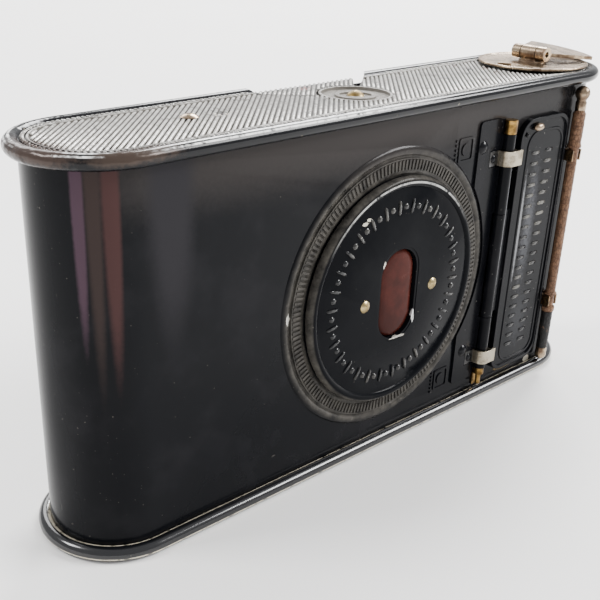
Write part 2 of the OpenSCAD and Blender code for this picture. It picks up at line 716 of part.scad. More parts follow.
module shutter_case() color(ink) difference() {
  union() {
    y_cyl(15.4, -11.6, -6.72, 0, lens_z, 96);
    y_cyl(8.8, -6.8, -4.4, 0, lens_z);
  }
  difference() {
    y_cyl(14.6, -13, -8.6, 0, lens_z, 96);
    for (x = [blade_x, wheel_x]) y_cyl(0.54, -10.7, -8, x, lens_z, 24);
  }
  y_cyl(4.2, -12, -3, 0, lens_z);
}

module shutter_face() color(ink) translate([0, 0, lens_z]) difference() {
  union() {
    y_cyl(15.4, -11.95, -11.62, 0, 0, 96);
    y_cyl(6.4, -12.2, -11.7, 0, 0);
  }
  y_cyl(4.9, -13, -11, 0, 0);
  y_cyl(0.55, -13, -11, 0, 10, 24);
  // slot of the wheel's handle
  on_back(-13, -11) translate([wheel_x, 0]) intersection() {
    difference() { circle(7.4); circle(5.9); }
    polygon([[0, 0], [12, 27], [30, 0], [12, -27]]);
  }
  // slot of the release
  on_back(-13, -11) translate([-13.5, -2]) square([2, 4]);
}

module shutter_blade() color([0.3, 0.3, 0.32]) translate([0, 0, lens_z]) difference() {
  union() {
    y_cyl(4.5, -9.2, -9.0, 0, 0);
    on_back(-9.2, -9.0) polygon([[blade_x, -1], [blade_x, 1], [0, 4.1], [0, -4.1]]);
    y_cyl(1.5, -9.2, -9.0, blade_x, 0, 24);
  }
  y_cyl(0.6, -10, -8, blade_x, 0, 24);
}

// wheel of stops: four openings that turn into place behind the lens
module aperture_wheel() color([0.6, 0.58, 0.52]) translate([wheel_x, 0, lens_z]) difference() {
  union() {
    y_cyl(8, -9.75, -9.5, 0, 0);
    rotate([0, -57, 0]) translate([6.15, -12.3, -0.6]) cube([1, 2.7, 1.2]);
  }
  y_cyl(0.6, -11, -8, 0, 0, 24);
  for (i = [0:3]) rotate([0, 180 - i*38, 0]) translate([wheel_x, 0, 0])
    y_cyl([1.9, 1.35, 1.0, 0.7][i], -11, -8, 0, 0, 24);
}

module release_lever() color(nickel) translate([0, 0, lens_z]) difference() {
  union() {
    y_cyl(1.5, -10.4, -10.0, blade_x, 0, 24);
    translate([-13.6, -10.4, -0.7]) cube([4, 0.4, 1.4]);
    translate([-13.2, -12.3, -0.7]) cube([1.3, 2.2, 1.4]);
  }
  y_cyl(0.6, -12, -9, blade_x, 0, 24);
}

module speed_pointer() color(nickel) translate([0, 0, lens_z + 10]) {
  y_cyl(1.5, -12.3, -11.97, 0, 0, 32);
  translate([-0.5, -12.3, 0]) cube([1, 0.3, 4.2]);
  y_cyl(0.5, -12.2, -11.3, 0, 0, 20);
}

module lens_ring() color(nickel) translate([0, 0, lens_z]) difference() {
  union() {
    y_cyl(4.85, -12.3, -10.9, 0, 0);
    y_cyl(5.5, -12.45, -12.22, 0, 0);
  }
  y_cyl(3.4, -13, -10, 0, 0);
  y_cyl(4.2, -12.1, -10, 0, 0);
}

module lens_glass() color([0.6, 0.7, 0.72, 0.35]) translate([0, 0, lens_z]) intersection() {
  y_cyl(4.15, -12.4, -10.9, 0, 0);
  difference() {
    translate([0, 0.05, 0]) sphere(r = 12, $fn = 96);
    translate([0, 4.75, 0]) sphere(r = 16, $fn = 96);
  }
}

// reflecting finder on a swivel
module finder_body() color(ink) translate([finder_x, 0, finder_z]) difference() {
  union() {
    translate([-3.4, -12.2, -3.4]) cube([6.8, 5.1, 6.8]);
    y_cyl(1.2, -7.2, -6.75, 0, 0, 24);
    y_cyl(0.8, -7, -6.12, 0, 0, 24);
  }
  translate([-2.8, -11.6, -2.8]) cube([5.6, 3.9, 5.6]);
  y_cyl(2.3, -13, -11, 0, 0, 32);
  translate([-2.3, -11.2, 2]) cube([4.6, 3.2, 3]);
}

module finder_lens() color([0.7, 0.75, 0.76, 0.4]) translate([finder_x, 0, finder_z]) intersection() {
  y_cyl(2.25, -12.9, -11.65, 0, 0, 128);
  translate([0, -7.35, 0]) sphere(r = 5, $fn = 200);
}

module finder_window() color([0.7, 0.75, 0.76, 0.4]) translate([finder_x, 0, finder_z])
  translate([-2.25, -11.15, 2.85]) cube([4.5, 3.1, 0.5]);

base_plate();
base_pivots();
body_shell();
window_disc();
window_frame();
ruby_window();
window_rivets();
hinge_plate();
hinge_straps();
hinge_rivets();
hinge_pin();
door_spring();
writing_door();
door_pad();
door_lip();
stylus();
stylus_end();
stylus_clips();
top_cover();
cover_latch();
latch_rivet();
cover_rivet();
cover_pivot();
key_dish();
key_spindle();
key_wing();
key_pin();
spool_core();
spool_flanges();
film_gate();
roller_left();
roller_right();
case_pins();
link_a1_left();
link_a1_right();
rivets_a1();
link_b1_left();
link_b1_right();
rivets_b1();
link_b2_left();
link_b2_right();
rivets_b2();
link_a2_left();
link_a2_right();
rivets_a2();
bellows();
front_board();
board_brackets();
finger_grips();
shutter_case();
shutter_face();
shutter_blade();
aperture_wheel();
release_lever();
speed_pointer();
lens_ring();
lens_glass();
finder_body();
finder_lens();
finder_window();
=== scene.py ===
"""Looks of a vest pocket roll-film camera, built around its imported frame.

The camera stands folded on its long side. Every size below is in millimetres in the frame's own axes: the lens
looks along -Y, the back with the red window faces +Y, +Z is up and the winding key is at the -X end.
"""

import json
import logging
import math
from contextlib import contextmanager
from dataclasses import dataclass
from enum import Enum
from functools import reduce
from typing import Callable, ClassVar, Iterator, Sequence

import bmesh
import bpy
import numpy as np
from mathutils import Matrix, Vector

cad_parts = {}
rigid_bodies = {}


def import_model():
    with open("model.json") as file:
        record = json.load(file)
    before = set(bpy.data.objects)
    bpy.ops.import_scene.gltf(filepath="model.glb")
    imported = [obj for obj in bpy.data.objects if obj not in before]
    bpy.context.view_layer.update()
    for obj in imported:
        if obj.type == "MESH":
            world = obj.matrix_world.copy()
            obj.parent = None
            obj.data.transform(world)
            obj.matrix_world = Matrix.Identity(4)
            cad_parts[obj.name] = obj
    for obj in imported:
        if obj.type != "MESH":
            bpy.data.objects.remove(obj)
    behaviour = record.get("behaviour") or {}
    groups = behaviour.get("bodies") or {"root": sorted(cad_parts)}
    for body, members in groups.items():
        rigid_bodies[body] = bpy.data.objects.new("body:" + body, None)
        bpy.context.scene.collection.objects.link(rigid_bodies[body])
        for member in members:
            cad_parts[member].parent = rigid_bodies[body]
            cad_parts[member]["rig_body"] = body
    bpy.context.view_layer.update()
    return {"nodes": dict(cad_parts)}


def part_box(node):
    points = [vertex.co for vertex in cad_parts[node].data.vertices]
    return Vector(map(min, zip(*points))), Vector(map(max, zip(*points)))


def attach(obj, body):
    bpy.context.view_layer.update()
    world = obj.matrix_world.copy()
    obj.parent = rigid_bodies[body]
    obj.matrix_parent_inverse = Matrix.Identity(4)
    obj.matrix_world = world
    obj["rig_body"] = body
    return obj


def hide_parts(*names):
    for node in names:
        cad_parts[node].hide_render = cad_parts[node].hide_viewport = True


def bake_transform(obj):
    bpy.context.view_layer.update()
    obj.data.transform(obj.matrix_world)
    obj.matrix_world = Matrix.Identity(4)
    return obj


LOG = logging.getLogger("pocket_camera")
MM = 0.001
MERGE_M = 1e-7
SHARP_DEGREES = 32
FLAT_DEGREES = 0.4
Array = np.ndarray
Socket = bpy.types.NodeSocket
Triple = tuple[float, float, float]
Pairs = tuple[tuple[float, float], ...]
SIDEWAYS, BACKWARDS, UPWARDS = np.eye(3)
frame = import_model()


def linear(code: str) -> tuple[float, float, float, float]:
    """Turns an sRGB hex colour into Blender's linear colour.

    Args:
        code: Six hex digits after a hash.
    Returns:
        Linear red, green, blue and an alpha of 1.
    """
    parts = (int(code[i:i + 2], 16)/255 for i in (1, 3, 5))
    return (*(c/12.92 if c <= 0.04045 else ((c + 0.055)/1.055)**2.4 for c in parts), 1.0)


def inside(points: Array, ring: Pairs) -> Array:
    """Tests which points lie inside a polygon: an odd number of its edges lies to the right of such a point.

    Args:
        points: Points in X and Y.
        ring: The polygon's corners.
    Returns:
        True for each point inside.
    """
    found = np.zeros(points.shape[:-1], bool)
    x, y = points[..., 0], points[..., 1]
    for (x0, y0), (x1, y1) in zip(ring, np.roll(np.array(ring), -1, 0)):
        cross = x0 + (y - y0)*(x1 - x0)/(y1 - y0 if y1 != y0 else 1e-9)
        found ^= ((y0 > y) != (y1 > y)) & (x < cross)
    return found


def beyond(points: Array, radius: float, x: float = 0.0) -> Array:
    """True for points further than radius from a point on the X axis."""
    return np.hypot(points[..., 0] - x, points[..., 1]) > radius


def linked(name: str, data: bpy.types.ID) -> bpy.types.Object:
    """Makes an object and links it into the scene.

    Args:
        name: Its name.
        data: Its mesh, light or camera.
    Returns:
        The object.
    """
    obj = bpy.data.objects.new(name, data)
    bpy.context.scene.collection.objects.link(obj)
    return obj


def flat_points(mesh: bpy.types.Mesh) -> Array:
    """Reads a mesh's points.

    Args:
        mesh: The mesh.
    Returns:
        Their coordinates in metres, all in one row.
    """
    flat = np.empty(3*len(mesh.vertices), np.float32)
    mesh.vertices.foreach_get("co", flat)
    return flat


@contextmanager
def reworked(mesh: bpy.types.Mesh) -> Iterator[bmesh.types.BMesh]:
    """Opens a mesh for bmesh operators and writes it back.

    Args:
        mesh: The mesh.
    Returns:
        The open mesh, for a with block.
    """
    work = bmesh.new()
    work.from_mesh(mesh)
    yield work
    work.to_mesh(mesh)
    work.free()


class Tree:
    """A material's node tree with short ways to add and link nodes. Values below may be numbers or sockets."""

    def __init__(self, name: str) -> None:
        """Starts an empty material with a Principled shader and an output.

        Args:
            name: The material's name.
        """
        self.material = bpy.data.materials.new(name)
        self.material.use_nodes = True
        self.tree = self.material.node_tree
        self.tree.nodes.clear()
        self.shader = self.add("BsdfPrincipled")
        out = self.add("OutputMaterial")
        self.tree.links.new(self.shader.outputs[0], out.inputs["Surface"])
        self.place = self.add("TexCoord").outputs["Object"]

    def put(self, node: bpy.types.Node, inputs: dict) -> None:
        """Links sockets to a node's inputs and sets plain values there.

        Args:
            node: The node.
            inputs: Values by input name or index.
        """
        for key, value in inputs.items():
            if isinstance(value, Socket):
                self.tree.links.new(value, node.inputs[key])
            else:
                node.inputs[key].default_value = value

    def add(self, kind: str, inputs: dict | None = None, **settings: object) -> bpy.types.Node:
        """Adds a node.

        Args:
            kind: Blender's name of the node type, after ShaderNode.
            inputs: Values by input name or index.
            settings: Attributes of the node.
        Returns:
            The new node.
        """
        made = self.tree.nodes.new("ShaderNode" + kind)
        for key, value in settings.items():
            setattr(made, key, value)
        self.put(made, inputs or {})
        return made

    def feed(self, inputs: dict) -> None:
        """Feeds the shader's inputs."""
        self.put(self.shader, inputs)

    def math(self, operation: str, *values: object, clamp: bool = False) -> Socket:
        """A Math node's result."""
        return self.add("Math", dict(enumerate(values)), operation=operation, use_clamp=clamp).outputs[0]

    def times(self, *values: object) -> Socket:
        """The product of two or more values."""
        return reduce(lambda a, b: self.math("MULTIPLY", a, b), values)

    def plus(self, a: object, b: object, clamp: bool = False) -> Socket:
        """The sum of two values."""
        return self.math("ADD", a, b, clamp=clamp)

    def minus(self, a: object, b: object) -> Socket:
        """The first value less the second."""
        return self.math("SUBTRACT", a, b)

    def rest(self, value: Socket) -> Socket:
        """What a value leaves of 1."""
        return self.minus(1.0, value)

    def hypot(self, a: Socket, b: Socket) -> Socket:
        """The root of the sum of two squares."""
        return self.math("SQRT", self.plus(self.math("POWER", a, 2.0), self.math("POWER", b, 2.0)))

    def noise(self, size_mm: float, detail: float = 4.0, rough: float = 0.55, stretch: Triple = (1, 1, 1),
              offset: float = 0.0) -> Socket:
        """Adds noise.

        Args:
            size_mm: Width of a grain.
            detail: Octaves of finer grains.
            rough: How strong the finer grains are.
            stretch: How many times longer the grains are along each axis.
            offset: Moves the pattern, so that two noises differ.
        Returns:
            The noise, from 0 to 1 and mostly near 0.5.
        """
        scale = tuple(1000/size_mm/s for s in stretch)
        moved = self.add("Mapping", {"Vector": self.place, "Scale": scale, "Location": (offset,)*3}).outputs[0]
        return self.add("TexNoise", {"Vector": moved, "Scale": 1.0, "Detail": detail,
                                     "Roughness": rough}).outputs["Fac"]

    def step(self, value: Socket, low: float, high: float) -> Socket:
        """A smooth step from 0 at low to 1 at high."""
        return self.add("MapRange", {"Value": value, "From Min": low, "From Max": high},
                        interpolation_type="SMOOTHSTEP").outputs["Result"]

    def step_mm(self, value: Socket, low: float, high: float) -> Socket:
        """A smooth step of a distance, with its ends in millimetres."""
        return self.step(value, low*MM, high*MM)

    def mix(self, share: Socket, a: object, b: object) -> Socket:
        """Mixes two colours, given as hex codes or sockets."""
        a, b = (linear(c) if isinstance(c, str) else c for c in (a, b))
        return self.add("Mix", {0: share, 6: a, 7: b}, data_type="RGBA").outputs[2]

    def axis(self, letter: str) -> Socket:
        """One coordinate of the frame, in metres."""
        return self.add("SeparateXYZ", {0: self.place}).outputs[letter]

    def path_radius(self, half: float) -> Socket:
        """Distance in metres from the middle line of the rounded case, half its straight length each way."""
        over = self.math("MAXIMUM", self.minus(self.math("ABSOLUTE", self.axis("X")), half*MM), 0.0)
        return self.hypot(over, self.axis("Y"))

    def round_radius(self, height: float) -> Socket:
        """Distance in metres from the round plate's axis, which lies at a height in millimetres."""
        return self.hypot(self.minus(self.axis("Z"), height*MM), self.axis("X"))

    def near(self, value: Socket, middle_mm: float, half_mm: float) -> Socket:
        """1 where value is within 0.3 of half_mm of middle_mm, falling to 0 at half_mm from it."""
        away = self.math("ABSOLUTE", self.minus(value, middle_mm*MM))
        return self.step(away, half_mm*MM, 0.3*half_mm*MM)

    def bump(self, height: Socket, depth_mm: float) -> None:
        """Adds a bump on top of the bumps already there.

        Args:
            height: Height from 0 to 1.
            depth_mm: What a height of 1 stands for.
        """
        before = self.shader.inputs["Normal"].links
        inputs = {"Height": height, "Distance": depth_mm*MM, "Strength": 1.0}
        if before:
            inputs["Normal"] = before[0].from_socket
        self.feed({"Normal": self.add("Bump", inputs).outputs[0]})


class Slot(Enum):
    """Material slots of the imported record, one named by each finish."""

    JAPAN = "japanned_metal"
    RIBS = "ribbed_metal"
    NICKEL = "nickel"
    BRASS = "brass"
    STEEL = "black_steel"
    COPPER = "copper_worn"
    RED = "red_film"
    LEATHER = "leather"
    FELT = "felt"
    WOOD = "wood"
    GLASS = "optical_glass"
    WHEEL = "wheel_metal"


@dataclass(frozen=True)
class Finish:
    """A finish: its material's name and the record's slot that it fills."""

    name: str
    slot: Slot

    def make(self) -> bpy.types.Material:
        """Builds the material.

        Returns:
            The new material.
        """
        t = Tree(self.name)
        self.paint(t)
        return t.material

    def paint(self, t: Tree) -> None:
        """Fills the material's tree, which each kind of finish does in its own way."""
        raise NotImplementedError


@dataclass(frozen=True)
class Spot:
    """A worn or stained place, a painted highlight or a painted reflection: centre, half sizes, colour, share of bare
    metal, raggedness and width of the edge.
    """

    centre: Triple
    half: Triple
    colour: str
    metal: float = 0.6
    ragged: float = 0.9
    edge: float = 0.15


@dataclass(frozen=True)
class Japan(Finish):
    """Baked black japan on sheet steel: deep black gloss with a faint orange peel, dust, scratches and chips, and where
    given, painted highlights and painted reflections.
    """

    colour: str = "#0a0b0e"
    haze: str = "#141417"
    dust: str = "#5b5852"
    bare: str = "#8d8676"
    line_wear_and_highlight_colour: str = "#cfc6b2"
    roughness: float = 0.16
    gloss: float = 0.16
    rim_wear_and_highlight_lines: tuple[Triple, ...] = ()
    lines_from_x: float = -200.0
    line_fade: float = 25.0
    crest_highlight_line: Triple | None = None
    crest_highlight_rise: tuple[float, float] = (9.0, 17.0)
    half_length: float = 48.15
    spots: tuple[Spot, ...] = ()
    chips: float = 0.69
    scratch_mm: float = 0.5
    dust_and_sheen_ring: Triple | None = None
    ring_dust_and_sheen: str = "#4d4a45"
    back_y: float = 8.0
    worn_metal: float = 0.6

    def paint(self, t: Tree) -> None:
        """Smeared black under specks, hair scratches, worn lines and painted highlight lines, chips, a ring of dust
        that is partly painted reflection, and spots, some of them painted highlights and reflections.

        Args:
            t: The material's tree.
        """
        smear, tone = self.smeared(t)
        specks = t.step(t.noise(0.55, 2, 0.5), 0.735, 0.765)
        tone = t.mix(t.times(specks, 0.75), tone, self.dust)
        hair = t.step(t.noise(self.scratch_mm, 3, 0.6, (14, 1, 5), 9.0), 0.735, 0.76)
        tone = t.mix(t.times(hair, 0.3), tone, self.dust)
        worn = t.step(t.noise(1.7, 6, 0.7, offset=3.0), self.chips + 0.045, self.chips + 0.065)
        tone = t.mix(worn, self.add_wear_and_highlight_lines(t, tone), self.bare)
        if self.dust_and_sheen_ring:
            tone = t.mix(self.ring_mask(t), tone, self.ring_dust_and_sheen)
        worn, tone = self.add_spots(t, worn, tone)
        cloud = t.plus(t.times(smear, 0.18), self.roughness - 0.07)
        dusty = t.plus(cloud, t.times(specks, 0.3))
        t.feed({"Base Color": tone, "Metallic": t.times(worn, self.worn_metal),
                "Roughness": t.plus(dusty, t.times(worn, 0.25), clamp=True), "Specular IOR Level": self.gloss})
        t.bump(t.noise(0.9, 2, 0.5), 0.003)
        t.bump(t.noise(14, 1, 0.5), 0.03)
        t.bump(t.rest(worn), 0.02)

    def smeared(self, t: Tree) -> tuple[Socket, Socket]:
        """The noise of old smears, and the black that they haze over."""
        smear = t.noise(9, 5, 0.6)
        return smear, t.mix(t.step(smear, 0.45, 0.75), self.colour, self.haze)

    def add_wear_and_highlight_lines(self, t: Tree, tone: Socket) -> Socket:
        """Adds pale broken lines: worn paint along the bottom plate's rim, painted highlights along the cover's rim,
        and a painted highlight on the upper crest of the round plate.

        Args:
            t: The material's tree.
            tone: Colour so far.
        Returns:
            The new colour.
        """
        broken = t.step(t.noise(1.4, 6, 0.7, offset=5.0), 0.34, 0.52)
        fade = t.step_mm(t.axis("X"), self.lines_from_x, self.lines_from_x + self.line_fade)
        for radius, height, half in self.rim_wear_and_highlight_lines:
            rim = t.near(t.path_radius(self.half_length), radius, half)
            tone = t.mix(t.times(rim, t.near(t.axis("Z"), height, half), broken, fade), tone, self.line_wear_and_highlight_colour)
        if self.crest_highlight_line:
            height, radius, half = self.crest_highlight_line
            upper = t.step_mm(t.axis("Z"), *(height + rise for rise in self.crest_highlight_rise))
            arc = t.near(t.round_radius(height), radius, half)
            tone = t.mix(t.times(arc, upper, broken), tone, self.line_wear_and_highlight_colour)
        return tone

    def ring_mask(self, t: Tree) -> Socket:
        """Dust that has settled in a ring on the back, made light enough to stand also for painted reflection and
        highlights there: patchy between two radii about a centre height.

        Args:
            t: The material's tree.
        Returns:
            The dust's mask.
        """
        height, low, high = self.dust_and_sheen_ring
        radius = t.round_radius(height)
        patchy = t.plus(t.times(t.noise(2.2, 5, 0.7), 2.0), -0.45, clamp=True)
        return t.times(t.step_mm(radius, low - 0.2, low + 0.2), t.step_mm(radius, high + 0.9, high - 0.4),
                       t.step_mm(t.axis("Y"), self.back_y, self.back_y + 1), patchy)

    def add_spots(self, t: Tree, worn: Socket, tone: Socket) -> tuple[Socket, Socket]:
        """Adds the spots, ellipsoids with ragged edges.

        Args:
            t: The material's tree.
            worn: Mask of bare metal so far.
            tone: Colour so far.
        Returns:
            The new mask and colour.
        """
        for spot in self.spots:
            scale = tuple(1/(MM*h) for h in spot.half)
            shift = tuple(-c*MM*s for c, s in zip(spot.centre, scale))
            moved = t.add("Mapping", {"Vector": t.place, "Scale": scale, "Location": shift}).outputs[0]
            length = t.add("VectorMath", {0: moved}, operation="LENGTH").outputs["Value"]
            ragged = t.plus(length, t.times(t.noise(0.7, 3, 0.7), spot.ragged))
            reach = 1 + spot.ragged*0.5
            mask = t.step(ragged, reach + spot.edge/2, reach - spot.edge/2)
            worn = t.math("MAXIMUM", worn, t.times(mask, spot.metal))
            tone = t.mix(mask, tone, spot.colour)
        return worn, tone


@dataclass(frozen=True)
class RubbedRibs(Japan):
    """Japan rubbed down to grey steel on the crests of stamped ribs and beads, black in the valleys."""

    crest: str = "#c6c4c0"
    rubbed: str = "#76726c"
    valley: str = "#5d5a55"
    valley_z: float = 60.43
    crest_z: float = 60.6
    bead_z: float = 60.7
    bead_band: float = 9.3
    rim_middle: float = 10.0
    dented_x: tuple[float, float] = (44.0, 52.0)
    dent_mm: float = 0.35

    def paint(self, t: Tree) -> None:
        """Bare where the surface is high and inside the rolled rim, chipped and dented on the rim, with painted
        highlight lines along the rim.

        Args:
            t: The material's tree.
        """
        radius, z = t.path_radius(self.half_length), t.axis("Z")
        on_band = t.step_mm(radius, self.bead_band - 0.05, self.bead_band + 0.05)
        off_band = t.rest(on_band)
        low = t.step_mm(z, self.valley_z, self.crest_z)
        high = t.step_mm(z, self.bead_z - 0.09, self.bead_z)
        height = t.plus(t.times(on_band, high), t.times(off_band, low))
        in_rim = t.step_mm(radius, self.rim_middle + 0.1, self.rim_middle - 0.1)
        on_rim = t.rest(in_rim)
        worn = t.times(height, t.step(t.noise(3.5, 5, 0.65), 0.15, 0.5), in_rim)
        top = t.step_mm(z, self.valley_z - 0.1, self.valley_z - 0.05)
        dusty = t.times(in_rim, top, off_band)
        black = t.mix(t.times(dusty, t.step(t.noise(2.5, 5, 0.7), 0.2, 0.6)), self.smeared(t)[1], self.valley)
        mottle = t.step(t.noise(0.5, 4, 0.7, offset=4.0), 0.35, 0.62)
        tone = t.mix(worn, black, t.mix(mottle, self.rubbed, self.crest))
        chipped = t.times(t.step(t.noise(1.5, 6, 0.7, offset=7.0), 0.66, 0.69), 0.7)
        tone = self.add_wear_and_highlight_lines(t, t.mix(t.times(chipped, on_rim), tone, self.bare))
        worn, tone = self.add_spots(t, worn, tone)
        t.feed({"Base Color": tone, "Metallic": t.times(worn, self.worn_metal),
                "Roughness": t.plus(t.times(worn, 0.14), self.roughness + 0.04), "Specular IOR Level": self.gloss})
        t.bump(t.times(t.noise(0.35, 3, 0.6), in_rim), 0.05)
        dented = t.times(on_rim, t.step_mm(t.axis("X"), *self.dented_x))
        t.bump(t.times(t.noise(3.2, 2, 0.5, offset=8.0), dented), self.dent_mm)


@dataclass(frozen=True)
class Plate(Finish):
    """Thin plating or bare metal, rolled or turned: tarnish in patches and fine rubbing dull its shine."""

    bright: str
    dull: str
    roughness: float = 0.28
    grain_mm: float = 2.4
    stretch: Triple = (1, 1, 1)
    pits: float = 0.01
    painted_x: float | None = None
    paint_colour: str = "#0b0b0c"

    def paint(self, t: Tree) -> None:
        """Tarnished plating, and black japan where X is above painted_x, if that is given.

        Args:
            t: The material's tree.
        """
        patch = t.step(t.noise(self.grain_mm, 6, 0.65, self.stretch), 0.38, 0.66)
        fine = t.noise(0.3, 3, 0.6, self.stretch)
        tone = t.mix(t.step(fine, 0.66, 0.78), t.mix(patch, self.bright, self.dull), self.dull)
        metal = 1.0
        if self.painted_x is not None:
            painted = t.step_mm(t.axis("X"), self.painted_x, self.painted_x + 0.2)
            tone, metal = t.mix(painted, tone, self.paint_colour), t.rest(painted)
        t.feed({"Base Color": tone, "Metallic": metal, "Roughness": t.plus(t.times(patch, 0.22), self.roughness)})
        t.bump(fine, self.pits)


@dataclass(frozen=True)
class BrownedCopper(Finish):
    """Copper tube gone brown: cracked lacquer with dark lines, and a black lower grip."""

    grip_top: float = 13.4
    crack_mm: float = 0.6

    def paint(self, t: Tree) -> None:
        """Two browns under dark cracks, black and not metallic on the grip.

        Args:
            t: The material's tree.
        """
        scale = (1000/self.crack_mm,)*2 + (700/self.crack_mm,)
        moved = t.add("Mapping", {"Vector": t.place, "Scale": scale}).outputs[0]
        cell = t.add("TexVoronoi", {"Vector": moved, "Scale": 1.0}, feature="DISTANCE_TO_EDGE")
        crack = t.step(cell.outputs["Distance"], 0.12, 0.02)
        tone = t.mix(t.step(t.noise(1.1, 5, 0.7), 0.3, 0.7), "#806048", "#473226")
        tone = t.mix(t.step(t.noise(0.35, 3, 0.7), 0.5, 0.62), tone, "#644835")
        tone = t.mix(t.times(crack, 0.45), tone, "#2c1a12")
        grip = t.step_mm(t.axis("Z"), self.grip_top + 0.1, self.grip_top - 0.1)
        worn = t.step(t.noise(1.5, 5, 0.7, offset=2.0), 0.6, 0.66)
        t.feed({"Base Color": t.mix(t.times(grip, t.rest(worn)), tone, "#0c0b0b"),
                "Metallic": t.times(t.rest(grip), 0.35), "Roughness": t.plus(t.times(crack, 0.2), 0.42),
                "Specular IOR Level": 0.3})
        t.bump(t.rest(crack), 0.06)
        t.bump(t.noise(0.5, 3, 0.6), 0.04)


@dataclass(frozen=True)
class RedCelluloid(Finish):
    """Deep red celluloid of the window: smooth, and browned with age."""

    def paint(self, t: Tree) -> None:
        """Dark red, browned and duller in blotches.

        Args:
            t: The material's tree.
        """
        blotch = t.noise(5, 4, 0.6)
        t.feed({"Base Color": t.mix(t.step(blotch, 0.35, 0.7), "#2b100c", "#3f1a14"),
                "Roughness": t.plus(t.times(blotch, 0.2), 0.15), "Specular IOR Level": 0.05})
        t.bump(t.noise(2.5, 2, 0.5), 0.02)


@dataclass(frozen=True)
class FoldedLeather(Finish):
    """Thin black leather of the bellows: fine pores and paler, rubbed fold edges."""

    pore_mm: float = 0.55

    def paint(self, t: Tree) -> None:
        """Works on the piece's attributes: rest, a point's place when folded, and fold, 1 on outer folds.

        Args:
            t: The material's tree.
        """
        t.place = t.add("Attribute", attribute_name="rest").outputs["Vector"]
        fold = t.add("Attribute", attribute_name="fold").outputs["Fac"]
        rub = t.times(t.step(fold, 0.72, 0.97), t.step(t.noise(2.5, 5, 0.7), 0.25, 0.6))
        tone = t.mix(t.noise(3, 4, 0.6), "#0a090a", "#1a1817")
        t.feed({"Base Color": t.mix(rub, tone, "#4b4541"), "Roughness": t.plus(t.times(t.noise(2, 3, 0.6), 0.2), 0.45),
                "Specular IOR Level": 0.25})
        t.bump(t.add("TexVoronoi", {"Vector": t.place, "Scale": 1000/self.pore_mm}).outputs["Distance"], 0.05)


@dataclass(frozen=True)
class TwoTone(Finish):
    """Two tones mixed by one grain, which also lifts the surface: turned wood, wool felt and barely tinted glass."""

    tones: tuple[str, str]
    grain: tuple
    plain: tuple[tuple[str, float], ...]
    relief: float = 0.0

    def paint(self, t: Tree) -> None:
        """Mixes the tones, sets the plain inputs and adds the relief.

        Args:
            t: The material's tree.
        """
        grain = t.noise(*self.grain)
        t.feed({"Base Color": t.mix(grain, *self.tones), **dict(self.plain)})
        if self.relief:
            t.bump(grain, self.relief)


class Shop:
    """Holds each finish's material once and puts meshes into the scene."""

    def __init__(self) -> None:
        """Starts with no materials."""
        self.made: dict[str, bpy.types.Material] = {}

    def stand(self, name: str, mesh: bpy.types.Mesh, finish: Finish, body: str, angle: float) -> bpy.types.Object:
        """Puts a mesh into the scene as a piece with its finish and body.

        Args:
            name: The piece's name.
            mesh: Its mesh.
            finish: Its finish, whose material is made the first time it is asked for.
            body: The body that it rides on.
            angle: Edges sharper than this many degrees stay sharp.
        Returns:
            The new object.
        """
        if finish.name not in self.made:
            self.made[finish.name] = finish.make()
        mesh.materials.clear()
        mesh.materials.append(self.made[finish.name])
        mesh.shade_smooth()
        mesh.set_sharp_from_angle(angle=math.radians(angle))
        obj = linked(name, mesh)
        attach(obj, body)
        LOG.info("%s rides on %s with %d faces", obj.name, body, len(mesh.polygons))
        return obj

    def place(self, name: str, points: Array, faces: Array, finish: Finish, body: str,
              angle: float = 60.0) -> bpy.types.Object:
        """Makes a piece from points in millimetres and four-sided faces.

        Args:
            name: The piece's name.
            points: Corner points, one row each.
            faces: Indices of four corners a face. Corners at one place are merged.
            finish: The finish.
            body: The body that it rides on.
            angle: Edges sharper than this many degrees stay sharp.
        Returns:
            The new object.
        """
        mesh = bpy.data.meshes.new(name)
        mesh.from_pydata((points*MM).tolist(), [], faces.tolist())
        with reworked(mesh) as work:
            bmesh.ops.remove_doubles(work, verts=work.verts, dist=MERGE_M)
            bmesh.ops.recalc_face_normals(work, faces=work.faces)
        return self.stand(name, mesh, finish, body, angle)

    def dress(self, node: str, finish: Finish, bevel: float,
              trim: Callable[[Array], Array] | None = None) -> bpy.types.Object:
        """Stands a merged copy of a CAD node in for it, with softened edges.

        Args:
            node: The CAD node.
            finish: The finish.
            bevel: Width of the softened edges in millimetres, 0 for none.
            trim: Moves the copy's points, given and returned in millimetres.
        Returns:
            The copy.
        """
        source = frame["nodes"][node]
        mesh = source.data.copy()
        mesh.name = node + "_shown"
        if trim:
            moved = trim(flat_points(mesh).reshape(-1, 3)/MM)*MM
            mesh.vertices.foreach_set("co", moved.astype(np.float32).ravel())
        with reworked(mesh) as work:
            bmesh.ops.remove_doubles(work, verts=work.verts, dist=2*MERGE_M)
            bmesh.ops.dissolve_degenerate(work, edges=work.edges, dist=MERGE_M)
            bmesh.ops.dissolve_limit(work, angle_limit=math.radians(FLAT_DEGREES), verts=work.verts, edges=work.edges)
        obj = self.stand(node + "_shown", mesh, finish, source["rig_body"], SHARP_DEGREES)
        if bevel:
            soft = obj.modifiers.new("soft_edges", "BEVEL")
            soft.width, soft.segments = bevel*MM, 2
            soft.limit_method, soft.angle_limit = "ANGLE", math.radians(SHARP_DEGREES)
            soft.harden_normals = True
        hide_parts(node)
        return obj


